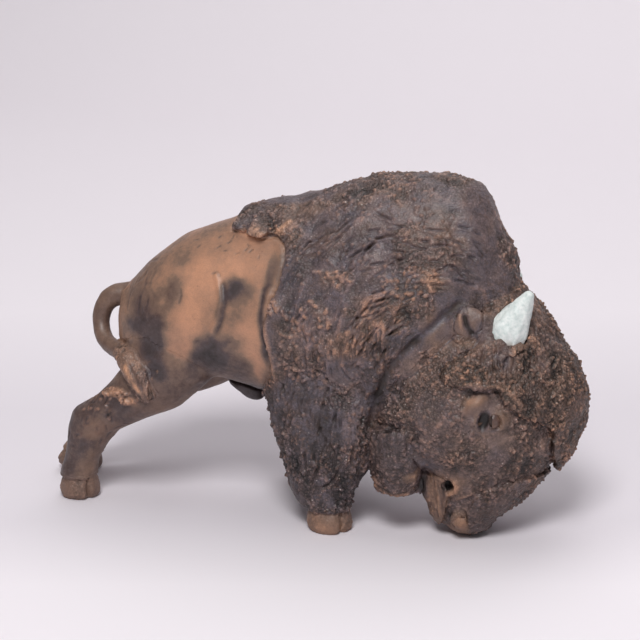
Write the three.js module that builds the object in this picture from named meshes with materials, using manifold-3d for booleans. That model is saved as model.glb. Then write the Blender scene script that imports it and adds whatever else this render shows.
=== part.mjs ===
// A hand-built stoneware bison: a hollow body on four legs, a clay coat pressed over hump and
// shoulders, and a heavy head that is lowered, turned to the animal's right and rests on its nose.
// Millimetres, +X towards the head, +Y to the animal's left, +Z up. Every piece is a separate clay
// piece with a thin slip seam to the piece that carries it.
import * as THREE from "three";
import { mergeVertices } from "three/addons/utils/BufferGeometryUtils.js";
import Module from "manifold-3d";

const wasm = await Module();
wasm.setup();

// Driving sizes. The forms below are drawn for the drawn sizes and stretch to the body's sizes.
const BODY_LENGTH = 195; // rump to chest
const BODY_WIDTH = 86; // across the ribs
const BACK_HEIGHT = 176; // ground to the top of the hump, under its coat
const DRAWN_LENGTH = 195;
const DRAWN_WIDTH = 86;
const DRAWN_HEIGHT = 176;
const SEAM = 0.3; // slip seam between two clay pieces
const WALL = 10; // thickness of the hollow body's wall
const VENT_RADIUS = 6; // steam vent under the belly
const VENT_AT = 0.56; // share of the body's length from the rump to the vent
const COAT = 3.4; // clay coat over hump and shoulders
// Locks of hair pressed up from the clay: distance between two, height, how far a row of them
// shifts from spine to belly, in distances, and rows around the form.
const COAT_LOCKS = { apart: 18, height: 1, shift: 0.6, rows: 5 };
const FORELOCK_LOCKS = { apart: 15, height: 1, shift: 0.3, rows: 9 };

// The body from rump to chest: centre height z, half width, height above and below the centre,
// and how far the section narrows towards the spine.
const BODY = [
  { x: -101, y: 0, z: 93, side: 22, top: 20, bottom: 20, crown: 0.05 },
  { x: -90, y: 0, z: 95, side: 31, top: 30, bottom: 27, crown: 0.08 },
  { x: -72, y: 0, z: 98, side: 38, top: 41, bottom: 33, crown: 0.12 },
  { x: -50, y: 0, z: 101, side: 40, top: 47, bottom: 34, crown: 0.15 },
  { x: -28, y: 0, z: 104, side: 40, top: 52, bottom: 42, crown: 0.17 },
  { x: 0, y: 0, z: 108, side: 41, top: 55, bottom: 53, crown: 0.19 },
  { x: 28, y: 0, z: 113, side: 43, top: 60, bottom: 58, crown: 0.2 },
  { x: 54, y: 0, z: 116, side: 40, top: 60, bottom: 58, crown: 0.2 },
  { x: 75, y: 0, z: 118, side: 32, top: 57.5, bottom: 50, crown: 0.18 },
  { x: 86, y: 0, z: 115, side: 25, top: 53, bottom: 44, crown: 0.16 },
  { x: 94, y: 0, z: 108, side: 19, top: 43, bottom: 32, crown: 0.12 },
];
const BODY_DOMES = [6, 7];
const COAT_START = 3; // the body station where the coat's blank begins, counted from the rump
const CAVITY_FROM = 2; // the body stations that the hollow runs between
const CAVITY_TO = 7;

// Rear edge of the coat in side view, from above the spine down to below the elbow, as x and z.
const COAT_EDGE = [
  [-44, 215],
  [-42, 153],
  [-36, 150],
  [-24, 149.5],
  [-13, 148],
  [-7, 141],
  [-9, 124],
  [-14, 110],
  [-15, 100],
  [-11, 88],
  [-14, 77],
  [-22, 66],
  [-30, 54],
  [-34, 20],
];

// Legs from where they start inside the body down to the hoof. The last ring sits on the hoof.
const HIND_LEG = [
  { x: -68, y: 0, z: 98, side: 13, top: 23, bottom: 24, crown: 0 },
  { x: -72, y: 0, z: 84, side: 16, top: 25, bottom: 25, crown: 0 },
  { x: -74, y: 0, z: 72, side: 17, top: 26, bottom: 25, crown: 0 },
  { x: -82, y: 0, z: 63, side: 16, top: 25, bottom: 24, crown: 0 },
  { x: -93, y: 0, z: 54, side: 14, top: 26, bottom: 22, crown: 0 },
  { x: -106, y: 0, z: 46, side: 12, top: 21, bottom: 21, crown: 0 },
  { x: -115, y: 0, z: 38, side: 10.5, top: 14.5, bottom: 14, crown: 0 },
  { x: -119, y: 0, z: 29, side: 9.5, top: 10.5, bottom: 10.5, crown: 0 },
  { x: -121.5, y: 0, z: 20, side: 9.5, top: 8.5, bottom: 9.5, crown: 0 },
  { x: -123, y: 0, z: 0, side: 10.5, top: 9.5, bottom: 10.5, crown: 0 },
];
const FORE_LEG = [
  { x: 18, y: 0, z: 92, side: 16, top: 28, bottom: 33, crown: 0 },
  { x: 14, y: 0, z: 70, side: 18, top: 32, bottom: 34, crown: 0 },
  { x: 14, y: 0, z: 52, side: 18, top: 29, bottom: 30, crown: 0 },
  { x: 14, y: 0, z: 38, side: 16.5, top: 24, bottom: 24, crown: 0 },
  { x: 13, y: 0, z: 26, side: 14.5, top: 18, bottom: 20, crown: 0 },
  { x: 14, y: 0, z: 18, side: 12.5, top: 14, bottom: 18, crown: 0 },
  { x: 15.5, y: 0, z: 0, side: 11.5, top: 11.5, bottom: 14, crown: 0 },
];
// Where each leg stands: shift along X and place along Y, at the hip and at the foot.
const STANCE = {
  hind_right: { hip: [0, -21], foot: [0, -30] },
  hind_left: { hip: [28, 20], foot: [-15.5, 8] },
  fore_right: { hip: [0, -27], foot: [0, -33] },
  fore_left: { hip: [-4, 27], foot: [-27, 28] },
};
const HOOF = {
  hind: { side: 9.8, front: 10.4, back: 9.6, heel: 4 },
  fore: { side: 11, front: 12, back: 10.5, heel: 4.4 },
};
const HOOF_HEIGHT = 12;
const HOOF_CLEFT = 1.2; // half width of the notch in front
const HOOF_SPLAY = 38; // degrees that the toes point outwards

// The head hangs in front of the chest, as high as its nose on the ground holds it. Its own frame
// has +X out of the forehead and the nose along -Z.
const HEAD_AT = { x: 82, y: -4 };
const HEAD_TURN = 18; // degrees, positive to the animal's left
const HEAD_TILT = -7; // degrees, swings the nose to the animal's right
const HEAD = [
  { x: 8, y: 0, z: 29, side: 19, top: 14, bottom: 16, crown: 0 },
  { x: 5, y: 0, z: 21, side: 27, top: 24, bottom: 25, crown: 0 },
  { x: 2, y: 0, z: 8, side: 34, top: 35, bottom: 36, crown: 0 },
  { x: 0, y: 0, z: -10, side: 39, top: 48, bottom: 48, crown: 0 },
  { x: 0, y: 0, z: -28, side: 40, top: 51.5, bottom: 54, crown: 0 },
  { x: -1, y: 0, z: -46, side: 36, top: 47, bottom: 43, crown: 0 },
  { x: -1, y: 0, z: -60, side: 29, top: 38, bottom: 23, crown: 0 },
  { x: 0, y: 0, z: -73, side: 22.5, top: 25.5, bottom: 21.5, crown: 0 },
  { x: -2, y: 0, z: -83, side: 17, top: 13, bottom: 17, crown: 0 },
];
const HEAD_DOMES = [5, 8];
const JAW = [
  { x: -36, y: 0, z: -36, side: 30, top: 14, bottom: 19, crown: 0 },
  { x: -39, y: 0, z: -53, side: 26, top: 14, bottom: 15, crown: 0 },
  { x: -37, y: 0, z: -67, side: 19, top: 12.5, bottom: 12, crown: 0 },
];
const FORELOCK = { front: 6.5, side: 3.5 }; // how far the forelock stands off the forehead and the sides
const FORELOCK_EDGE = [
  [2, 60],
  [4, 30],
  [3, 14],
  [-5, 5],
  [-15, 0],
  [-19, -6],
  [-13, -10],
  [2, -12],
  [9, -12],
  [13, -19],
  [21, -25],
  [34, -31],
  [39, -41],
  [40, -57],
  [47, -64],
];
const FORELOCK_REACH = [
  [90, -64],
  [90, 60],
];
const BRIDGE_COAT = 2.4; // clay slab pressed on the bridge of the nose
const NOSE_LIFT = 1.2; // only the nose pad rests, the slab behind it stays clear of the ground
const BRIDGE_EDGE = [
  [50, -58],
  [38, -60],
  [23, -62],
  [12, -64],
  [2, -69],
  [-3, -76],
  [-2, -86],
];
const BRIDGE_REACH = [
  [-2, -120],
  [90, -120],
  [90, -58],
];
const LIP_COAT = 2.2; // the upper lip is a strip pressed over the end of the muzzle
const LIP_EDGE = [
  [-60, -60],
  [-20, -60],
  [-14.5, -66],
  [-14.5, -78],
  [-17, -90],
];
const LIP_REACH = [
  [-17, -120],
  [-60, -120],
];
const HORN = { at: 0.18, forward: 0.42, length: 29, root: 9.8, tip: 2.6, sink: 9, aim: [0.42, 0.2, 0.8] };
const EAR = { length: 12, width: 6.3, depth: 4.4, sink: 3, rim: 1.4, lean: 0.9 };
const EAR_SPOTS = {
  right: { at: 0.17, back: 0.3 },
  left: { at: 0.3, forward: 0.12 }, // squeezed forward by the turn of the head
};
const EYE = { at: 0.5, forward: 0.15, radius: 5.2, proud: 1.8, socket: 7.4 };
const BROW = { at: 0.44, back: 0.03, length: 7, height: 3.2, proud: 2.2 };
const NOSTRIL = { at: 0.785, back: 0.62, mouth: 3.3, floor: 2, depth: 9 };
const NOSE_PAD = { x: -4.5, z: -84, side: 17.5, front: 9.5, height: 9.3, flat: 0.55 };

const TAIL = [
  [-94, 0, 98],
  [-105, -2, 104],
  [-114.5, -5, 101],
  [-118, -8, 91],
  [-114, -13, 82],
  [-105, -20, 79],
  [-96, -28, 79],
];
const TAIL_RADIUS = { root: 7.5, middle: 4.6, end: 4.2 };
const TUFT = [
  { x: -99, y: -26, z: 80, side: 4.6, top: 4.6, bottom: 4.6, crown: 0 },
  { x: -91, y: -33, z: 78, side: 6.6, top: 6, bottom: 6, crown: 0 },
  { x: -84, y: -38, z: 71, side: 7, top: 6, bottom: 6, crown: 0 },
  { x: -79, y: -40, z: 62, side: 4, top: 3.4, bottom: 3.4, crown: 0 },
];
const SHEATH = [
  { x: -40, y: 0, z: 70, side: 9, top: 15, bottom: 14, crown: 0 },
  { x: -37, y: 0, z: 60, side: 7, top: 9, bottom: 12, crown: 0 },
  { x: -34, y: 0, z: 54.5, side: 4.5, top: 4, bottom: 7, crown: 0 },
];
const PATCH = { from: 2, share: 0.83, rise: 1.9, length: 18, height: 5.5, thick: 2 };
const BEYOND = 240; // how far a cutter reaches past the animal

const X = new THREE.Vector3(1, 0, 0);
const Y = new THREE.Vector3(0, 1, 0);
const Z = new THREE.Vector3(0, 0, 1);

// Ring planes: a body section faces along X, a leg or head section faces down.
const ALONG = { across: Y, lift: Z };
const DOWN = { across: Y, lift: X };

const LONG = BODY_LENGTH / DRAWN_LENGTH;
const WIDE = BODY_WIDTH / DRAWN_WIDTH;
const TALL = BACK_HEIGHT / DRAWN_HEIGHT;

/** Drawn stations at the body's sizes. */
function stretched(stations, plane) {
  const lift = plane === ALONG ? TALL : LONG;
  return stations.map(({ x, y, z, side, top, bottom, crown }) => ({
    x: x * LONG,
    y: y * WIDE,
    z: z * TALL,
    side: side * WIDE,
    top: top * lift,
    bottom: bottom * lift,
    crown,
  }));
}

/** A smooth closed form through stations, with a dome of the given length on each end. */
class Form {
  constructor(stations, plane, { around = 28, between = 3, domes = [0, 0], locks = null } = {}) {
    this.plane = plane;
    this.around = around;
    this.locks = locks;
    this.steps = (stations.length - 1) * between;
    this.domes = domes;
    this.crowns = stations.map((s) => s.crown);
    const curve = (points) => new THREE.CatmullRomCurve3(points, false, "catmullrom", 0.5);
    this.centre = curve(stations.map((s) => new THREE.Vector3(s.x, s.y, s.z)));
    this.size = curve(stations.map((s) => new THREE.Vector3(s.side, s.top, s.bottom)));
  }

  /** Axes of the ring plane at t: fixed, or square to the centre line. */
  axes(t) {
    if (this.plane.lift) return this.plane;
    const along = this.centre.getTangent(t);
    const across = this.plane.across.clone().addScaledVector(along, -along.dot(this.plane.across));
    across.normalize();
    return { across, lift: along.clone().cross(across) };
  }

  /** Point of the surface at t along the form and angle around it, scaled about the centre. */
  point(t, angle, scale = 1, push = 0) {
    const place = t * (this.crowns.length - 1);
    const low = Math.min(Math.floor(place), this.crowns.length - 2);
    const crown = THREE.MathUtils.lerp(this.crowns[low], this.crowns[low + 1], place - low);
    const { across, lift } = this.axes(t);
    const size = this.size.getPoint(t).addScalar(this.lockHeight(t, angle));
    const cos = Math.cos(angle);
    const sin = Math.sin(angle);
    const normal = across.clone().cross(lift);
    return this.centre
      .getPoint(t)
      .addScaledVector(across, size.x * cos * (1 - crown * sin) * scale)
      .addScaledVector(lift, (sin > 0 ? size.y : size.z) * sin * scale)
      .addScaledVector(normal, push);
  }

  /** How far a lock of hair stands out of the surface at t and angle, or in where it is negative. */
  lockHeight(t, angle) {
    if (!this.locks) return 0;
    const { apart, height, shift, rows } = this.locks;
    const along = this.centre.getPoint(t).distanceTo(this.centre.getPoint(0)) / apart;
    const wave = Math.cos(2 * Math.PI * (along + shift * Math.sin(angle)));
    return height * wave * Math.cos(rows * angle);
  }

  /** Outward direction of the surface at t and angle. */
  normal(t, angle) {
    const step = 0.01;
    const turn = this.point(t, angle + step).sub(this.point(t, angle - step));
    const along = this.point(Math.min(t + step, 1), angle).sub(this.point(Math.max(t - step, 0), angle));
    return turn.cross(along).normalize();
  }

  /** The closed mesh. */
  geometry() {
    const rings = [];
    const ring = (t, scale, push) => {
      const points = [];
      for (let i = 0; i < this.around; i++) {
        points.push(this.point(t, (i / this.around) * 2 * Math.PI, scale, push));
      }
      rings.push(points);
    };
    const domeRings = 2;
    const dome = (t, length, way) => {
      const range = [...Array(domeRings).keys()].map((i) => ((i + 1) / (domeRings + 0.4)) * (Math.PI / 2));
      if (way < 0) range.reverse();
      range.forEach((a) => ring(t, Math.cos(a), way * length * Math.sin(a)));
    };
    if (this.domes[0] > 0) dome(0, this.domes[0], -1);
    for (let i = 0; i <= this.steps; i++) ring(i / this.steps, 1, 0);
    if (this.domes[1] > 0) dome(1, this.domes[1], 1);
    return skin(rings);
  }

  solid() {
    return toSolid(this.geometry());
  }
}

/** Joins rings of equal count into a closed surface, with a fan on each end. */
function skin(rings) {
  const count = rings[0].length;
  const positions = rings.flat().flatMap((p) => [p.x, p.y, p.z]);
  const index = [];
  for (let r = 0; r < rings.length - 1; r++) {
    for (let i = 0; i < count; i++) {
      const a = r * count + i;
      const b = r * count + ((i + 1) % count);
      index.push(a, b, b + count, a, b + count, a + count);
    }
  }
  const fan = (ring, first, flip) => {
    const middle = new THREE.Vector3();
    ring.forEach((p) => middle.addScaledVector(p, 1 / count));
    const tip = positions.length / 3;
    positions.push(middle.x, middle.y, middle.z);
    for (let i = 0; i < count; i++) {
      const a = first + i;
      const b = first + ((i + 1) % count);
      index.push(...(flip ? [tip, b, a] : [tip, a, b]));
    }
  };
  fan(rings[0], 0, true);
  fan(rings.at(-1), (rings.length - 1) * count, false);
  const geometry = new THREE.BufferGeometry();
  geometry.setAttribute("position", new THREE.Float32BufferAttribute(positions, 3));
  geometry.setIndex(index);
  return geometry;
}

/** A closed three.js geometry as a solid that can be cut and joined. */
function toSolid(geometry) {
  const bare = geometry.clone();
  bare.deleteAttribute("normal");
  bare.deleteAttribute("uv");
  const merged = mergeVertices(bare, 1e-4);
  return new wasm.Manifold(
    new wasm.Mesh({
      numProp: 3,
      vertProperties: new Float32Array(merged.attributes.position.array),
      triVerts: new Uint32Array(merged.index.array),
    }),
  );
}

/** A solid back as a three.js geometry. */
function toGeometry(solid) {
  const { vertProperties, triVerts } = solid.getMesh();
  const geometry = new THREE.BufferGeometry();
  geometry.setAttribute("position", new THREE.Float32BufferAttribute(vertProperties, 3));
  geometry.setIndex([...triVerts]);
  return geometry;
}

/** The solid with every point pushed out along its surface normal. */
function grown(solid, by) {
  const geometry = toGeometry(solid);
  geometry.computeVertexNormals();
  const { position, normal } = geometry.attributes;
  const point = new THREE.Vector3();
  const out = new THREE.Vector3();
  for (let i = 0; i < position.count; i++) {
    point.fromBufferAttribute(position, i);
    out.fromBufferAttribute(normal, i);
    point.addScaledVector(out, by);
    position.setXYZ(i, point.x, point.y, point.z);
  }
  return toSolid(geometry);
}

/** The solid cut back by its neighbours, with a slip seam to each. */
function seat(solid, ...neighbours) {
  return neighbours.reduce((left, other) => left.subtract(grown(other, SEAM)), solid);
}

/** Everything in front of an edge that is drawn in side view, as wide as the whole animal. */
function inFrontOf(edge, reach) {
  const wide = 2 * BEYOND;
  const curve = new THREE.SplineCurve(edge.map(([x, z]) => new THREE.Vector2(x, z)));
  const points = curve.getPoints(edge.length + 6);
  const shape = new THREE.Shape(points);
  reach.forEach(([x, z]) => shape.lineTo(x, z));
  shape.closePath();
  const geometry = new THREE.ExtrudeGeometry(shape, { depth: wide, bevelEnabled: false });
  geometry.rotateX(Math.PI / 2);
  geometry.translate(0, wide / 2, 0);
  return toSolid(geometry);
}

/** The largest body of a solid, without slivers that a cut left. */
function largest(solid) {
  return solid.decompose().sort((a, b) => b.volume() - a.volume())[0];
}

/** A solid moved and turned by a matrix. */
function placed(solid, matrix) {
  return toSolid(toGeometry(solid).applyMatrix4(matrix));
}

// Finishes.
const SMOOTH_CLAY = { color: 0x8a5f49, roughness: 0.62, metalness: 0 };
const ROUGH_CLAY = { color: 0x4a3b38, roughness: 0.85, metalness: 0 };
const BARE_CLAY = { color: 0x9a6a50, roughness: 0.7, metalness: 0 };
const PALE_GLAZE = { color: 0xd3dcda, roughness: 0.45, metalness: 0 };
const DARK_CLAY = { color: 0x1d1a1b, roughness: 0.5, metalness: 0 };

const bison = new THREE.Group();

const nosePad = toSolid(
  new THREE.SphereGeometry(1, 14, 9)
    .scale(NOSE_PAD.front, NOSE_PAD.side, NOSE_PAD.height)
    .translate(NOSE_PAD.x, 0, NOSE_PAD.z),
);
const headTurned = new THREE.Matrix4()
  .makeRotationZ(THREE.MathUtils.degToRad(HEAD_TURN))
  .multiply(new THREE.Matrix4().makeRotationX(THREE.MathUtils.degToRad(HEAD_TILT)));
const noseLow = placed(nosePad, headTurned).boundingBox().min[2];
const headMatrix = headTurned
  .clone()
  .setPosition(HEAD_AT.x * LONG, HEAD_AT.y * WIDE, -noseLow - NOSE_PAD.flat);

/** Adds one named clay piece with its own finish. */
function add(name, solid, finish) {
  const mesh = new THREE.Mesh(toGeometry(largest(solid)), new THREE.MeshStandardMaterial(finish));
  mesh.name = name;
  bison.add(mesh);
}

/** Stations with every half size made larger. */
const thicker = (stations, by) =>
  stations.map((s) => ({ ...s, side: s.side + by, top: s.top + by, bottom: s.bottom + by }));

// Blanks: whole forms before any cut.
const bodyStations = stretched(BODY, ALONG);
const bodyForm = new Form(bodyStations, ALONG, { around: 24, between: 1, domes: BODY_DOMES });
const body = bodyForm.solid();
const coatOuter = new Form(thicker(bodyStations.slice(COAT_START), COAT), ALONG, {
  around: 40,
  between: 4,
  domes: [0, BODY_DOMES[1] + COAT],
  locks: COAT_LOCKS,
}).solid();
const headForm = new Form(HEAD, DOWN, { around: 24, between: 1, domes: HEAD_DOMES });
const headLocal = headForm.solid();
const head = placed(headLocal, headMatrix);

// Hollow of the body, open through the vent.
const cavityBlank = new Form(thicker(bodyStations.slice(CAVITY_FROM, CAVITY_TO + 1), -WALL), ALONG, {
  around: 14,
  between: 1,
  domes: [10, 10],
}).solid();
const cavity = cavityBlank.subtract(grown(head, WALL));
const ventAt = bodyForm.centre.getPoint(VENT_AT);
const vent = toSolid(
  new THREE.CylinderGeometry(VENT_RADIUS, VENT_RADIUS, 2 * ventAt.z, 14)
    .rotateX(Math.PI / 2)
    .translate(ventAt.x, 0, 0),
);
const headSocket = grown(head, SEAM);
add("body_shell", body.subtract(headSocket).subtract(cavity).subtract(vent), SMOOTH_CLAY);

const coatEdge = COAT_EDGE.map(([x, z]) => [x * LONG, z * TALL]);
const coatRegion = inFrontOf(coatEdge, [
  [BEYOND, coatEdge.at(-1)[1]],
  [BEYOND, coatEdge[0][1]],
]);
const coat = seat(coatOuter.intersect(coatRegion), body).subtract(headSocket).subtract(vent);
add("mane_coat", coat, ROUGH_CLAY);

// Legs and hooves. The right legs are the near ones; the left legs stand further back.
const sides = [
  { side: "right", way: -1 },
  { side: "left", way: 1 },
];
const legs = {};
for (const { side, way } of sides) {
  for (const [end, stations, carriers] of [
    ["hind", HIND_LEG, [body]],
    ["fore", FORE_LEG, [body, coatOuter, head]],
  ]) {
    const form = new Form(stand(stations, STANCE[`${end}_${side}`]), DOWN, { around: 14, between: 1 });
    const leg = form.solid();
    legs[`${end}_${side}`] = leg;
    add(`${end}_leg_${side}`, seat(leg, ...carriers), end === "hind" ? SMOOTH_CLAY : ROUGH_CLAY);
    add(`hoof_${end}_${side}`, hoof(form.centre.getPoint(1), HOOF[end], way), BARE_CLAY);
  }
}

/** Leg stations put where the leg stands, the last one on the hoof. */
function stand(stations, { hip, foot }) {
  const placedStations = stations.map((s, i) => {
    const share = i / (stations.length - 1);
    const x = s.x + THREE.MathUtils.lerp(hip[0], foot[0], share);
    return { ...s, x, y: THREE.MathUtils.lerp(hip[1], foot[1], share) };
  });
  const sized = stretched(placedStations, DOWN);
  sized.at(-1).z = HOOF_HEIGHT;
  return sized;
}

/** A round clay hoof under the ankle, with the cleft in front and a heel lump behind. */
function hoof(ankle, { side, front, back, heel }, way) {
  const top = ankle.z - SEAM;
  const station = (z, grow) => {
    return { x: 0, y: 0, z, side: side + grow, top: front + grow, bottom: back + grow, crown: 0 };
  };
  const pad = new Form(
    [station(top, -1.6), station(top * 0.7, 0), station(top * 0.25, 0.5), station(0, -0.8)],
    DOWN,
    { around: 16, between: 1 },
  ).solid();
  const lump = toSolid(
    new THREE.SphereGeometry(heel, 8, 6).scale(0.9, 1.1, 1.2).translate(-back, 0, HOOF_HEIGHT / 2),
  );
  const notch = toSolid(
    new THREE.BoxGeometry(front, HOOF_CLEFT * 2, HOOF_HEIGHT).translate(front * 1.25, 0, HOOF_HEIGHT / 2),
  );
  const turned = new THREE.Matrix4()
    .makeRotationZ(THREE.MathUtils.degToRad(way * HOOF_SPLAY))
    .setPosition(ankle.x, ankle.y, 0);
  return placed(pad.add(lump).subtract(notch), turned);
}

// The head and what is pressed onto it, first in the head's own frame.
/** A head piece at rest in the animal's frame. */
const onHead = (solid) => placed(solid, headMatrix);

/** Surface point, outward direction and side sign of a feature that both sides of the head carry. */
function headSpots({ at, forward = 0, back = 0 }) {
  return sides.map(({ side, way }) => {
    const angle = (way < 0 ? Math.PI : 0) + way * (forward - back);
    return { side, way, point: headForm.point(at, angle), out: headForm.normal(at, angle) };
  });
}

/** A round ellipsoid with its short axis along a direction. */
function pebble(point, out, radii, detail = [12, 7]) {
  const turn = new THREE.Quaternion().setFromUnitVectors(Y, out);
  const geometry = new THREE.SphereGeometry(1, ...detail).scale(radii[0], radii[1], radii[2]);
  return toSolid(geometry.applyQuaternion(turn).translate(point.x, point.y, point.z));
}

const eyeSpots = headSpots(EYE);
const eyes = eyeSpots.map(({ side, point, out }) => {
  const centre = point.clone().addScaledVector(out, EYE.proud - EYE.radius);
  return { side, solid: pebble(centre, out, [EYE.radius, EYE.radius, EYE.radius]) };
});
const sockets = eyeSpots.map(({ point, out }) => pebble(point, out, [EYE.socket, 3, EYE.socket * 0.8]));
const brows = headSpots(BROW).map(({ side, point, out }) => {
  const centre = point.clone().addScaledVector(out, BROW.proud - BROW.height);
  return { side, solid: pebble(centre, out, [BROW.length, BROW.height, BROW.height]) };
});
const nostrils = headSpots(NOSTRIL).map(({ point, out }) => {
  const hole = new THREE.CylinderGeometry(NOSTRIL.mouth, NOSTRIL.floor, NOSTRIL.depth, 10);
  hole.applyQuaternion(new THREE.Quaternion().setFromUnitVectors(Y, out));
  return toSolid(hole.translate(point.x, point.y, point.z));
});
const horns = headSpots(HORN).map(({ side, way, point }) => {
  const [ahead, outward, up] = HORN.aim;
  const aim = new THREE.Vector3(ahead, way * outward, up).normalize();
  const station = (share, radius) => {
    const centre = point.clone().addScaledVector(aim, HORN.length * share - HORN.sink);
    return { ...centre, side: radius, top: radius, bottom: radius, crown: 0 };
  };
  const form = new Form(
    [
      station(0, HORN.root),
      station(0.33, HORN.root),
      station(0.68, (HORN.root + HORN.tip) / 2),
      station(1, HORN.tip),
    ],
    { across: X },
    { around: 10, between: 1, domes: [0, HORN.tip * 0.7] },
  );
  return { side, solid: form.solid() };
});
const ears = sides.map(({ side }, i) => {
  const { point, out } = headSpots(EAR_SPOTS[side])[i];
  const aim = Z.clone().addScaledVector(out, EAR.lean).normalize();
  const station = (share, width) => {
    const centre = point.clone().addScaledVector(aim, EAR.length * share - EAR.sink);
    const depth = width * EAR.depth;
    return { ...centre, side: width * EAR.width, top: depth, bottom: depth, crown: 0 };
  };
  const form = new Form(
    [station(0, 0.9), station(0.45, 1), station(0.8, 0.75), station(1, 0.35)],
    { across: X },
    { around: 10, between: 1, domes: [0, 1] },
  );
  const scoopAt = form.centre.getPoint(0.6).addScaledVector(out, EAR.depth * 0.9);
  const scoop = pebble(scoopAt, out, [EAR.width - EAR.rim, EAR.depth, EAR.length * 0.4], [10, 6]);
  return { side, solid: form.solid().subtract(scoop) };
});
/** The room below a height. */
const below = (z) => toSolid(new THREE.BoxGeometry(...Array(3).fill(2 * BEYOND)).translate(0, 0, z - BEYOND));
const solids = (features) => features.map((feature) => feature.solid);

let skull = sockets.reduce((left, socket) => left.subtract(socket), headLocal);
skull = nostrils.reduce((left, hole) => left.subtract(hole), skull);
skull = seat(skull, nosePad, ...solids(eyes), ...solids(brows));
add("head", onHead(skull), ROUGH_CLAY);
for (const { side, solid } of eyes) add(`eye_${side}`, onHead(solid), DARK_CLAY);
for (const { side, solid } of brows) add(`brow_${side}`, seat(onHead(solid), coatOuter), BARE_CLAY);
add("nose_pad", onHead(nosePad).subtract(below(0)), BARE_CLAY);

const jawBlank = new Form(JAW, DOWN, { around: 16, between: 1, domes: [0, 7] }).solid();
const jaw = seat(onHead(seat(jawBlank, headLocal, nosePad)), body, coatOuter, legs.fore_right);
add("lower_jaw", jaw, ROUGH_CLAY);

const forelockBlank = new Form(
  HEAD.map((s) => ({ ...s, side: s.side + FORELOCK.side, top: s.top + FORELOCK.front })),
  DOWN,
  {
    around: 40,
    between: 3,
    domes: [HEAD_DOMES[0] + FORELOCK.side, HEAD_DOMES[1]],
    locks: FORELOCK_LOCKS,
  },
)
  .solid()
  .intersect(inFrontOf(FORELOCK_EDGE, FORELOCK_REACH));
const forelock = seat(forelockBlank, headLocal, ...solids(horns), ...solids(eyes), ...solids(brows));
add("forelock", seat(onHead(forelock), body, coatOuter), ROUGH_CLAY);

const bridgeBlank = grown(headLocal, BRIDGE_COAT).intersect(inFrontOf(BRIDGE_EDGE, BRIDGE_REACH));
const bridge = onHead(seat(bridgeBlank, headLocal, nosePad, forelockBlank));
add("nose_bridge", bridge.subtract(below(NOSE_LIFT)), ROUGH_CLAY);
const lipBlank = grown(headLocal, LIP_COAT).intersect(inFrontOf(LIP_EDGE, LIP_REACH));
add("upper_lip", onHead(seat(lipBlank, headLocal, nosePad, jawBlank)), BARE_CLAY);
for (const { side, solid } of horns) {
  add(`horn_${side}`, seat(onHead(seat(solid, headLocal)), body, coatOuter), PALE_GLAZE);
}
for (const { side, solid } of ears) {
  const ear = seat(solid, headLocal, forelockBlank, ...solids(horns));
  add(`ear_${side}`, seat(onHead(ear), body, coatOuter), ROUGH_CLAY);
}

// Tail, tuft, sheath and the small clay scrap on the saddle.
/** Radius of the tail at a share of its length. */
function tailRadius(share) {
  const { root, middle, end } = TAIL_RADIUS;
  if (share < 0.5) return THREE.MathUtils.lerp(root, middle, share * 2);
  return THREE.MathUtils.lerp(middle, end, share * 2 - 1);
}

const tailStations = TAIL.map(([x, y, z], i) => {
  const radius = tailRadius(i / (TAIL.length - 1));
  const place = { x: x * LONG, y: y * WIDE, z: z * TALL };
  return { ...place, side: radius, top: radius, bottom: radius, crown: 0 };
});
const tail = new Form(
  tailStations,
  { across: new THREE.Vector3(0.5, -1, 0.3).normalize() },
  { around: 10, between: 2, domes: [0, 2] },
).solid();
const tuft = new Form(
  TUFT.map((s) => ({ ...s, x: s.x * LONG, y: s.y * WIDE, z: s.z * TALL })),
  { across: new THREE.Vector3(1, 0.6, 0).normalize() },
  { around: 10, between: 1, domes: [1, 2] },
).solid();
add("tail", seat(tail, body, tuft, legs.hind_right), SMOOTH_CLAY);
add("tail_tuft", seat(tuft, body, legs.hind_right), ROUGH_CLAY);
const sheath = new Form(stretched(SHEATH, DOWN), DOWN, { around: 10, between: 1, domes: [0, 2] }).solid();
add("belly_sheath", seat(sheath, body, coatOuter, legs.hind_left), SMOOTH_CLAY);
const [edgeFrom, edgeTo] = coatEdge.slice(PATCH.from);
const scrapOutline = toSolid(
  new THREE.SphereGeometry(1, 14, 10)
    .scale(PATCH.length / 2, BODY_WIDTH * 0.7, PATCH.height)
    .translate(
      THREE.MathUtils.lerp(edgeFrom[0], edgeTo[0], PATCH.share),
      -BODY_WIDTH * 0.7,
      THREE.MathUtils.lerp(edgeFrom[1], edgeTo[1], PATCH.share) + PATCH.rise,
    ),
);
add("saddle_patch", seat(grown(coatOuter, PATCH.thick).intersect(scrapOutline), coatOuter), ROUGH_CLAY);

// The frame's origin is under the middle of the whole animal, on the surface it stands on.
const bounds = new THREE.Box3().setFromObject(bison);
const middle = bounds.getCenter(new THREE.Vector3());
bison.position.set(-middle.x, -middle.y, -bounds.min.z);

export default bison;
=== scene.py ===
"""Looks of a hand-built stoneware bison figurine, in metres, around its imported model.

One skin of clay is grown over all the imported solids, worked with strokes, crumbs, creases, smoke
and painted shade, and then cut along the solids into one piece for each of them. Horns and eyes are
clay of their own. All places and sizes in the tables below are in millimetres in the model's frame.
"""

import logging
import math
from collections.abc import Callable
from dataclasses import dataclass, field
from enum import Enum, IntEnum

import bmesh
import bpy
import numpy as np
from mathutils import Matrix, Vector
from mathutils.bvhtree import BVHTree
from mathutils.kdtree import KDTree

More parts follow.
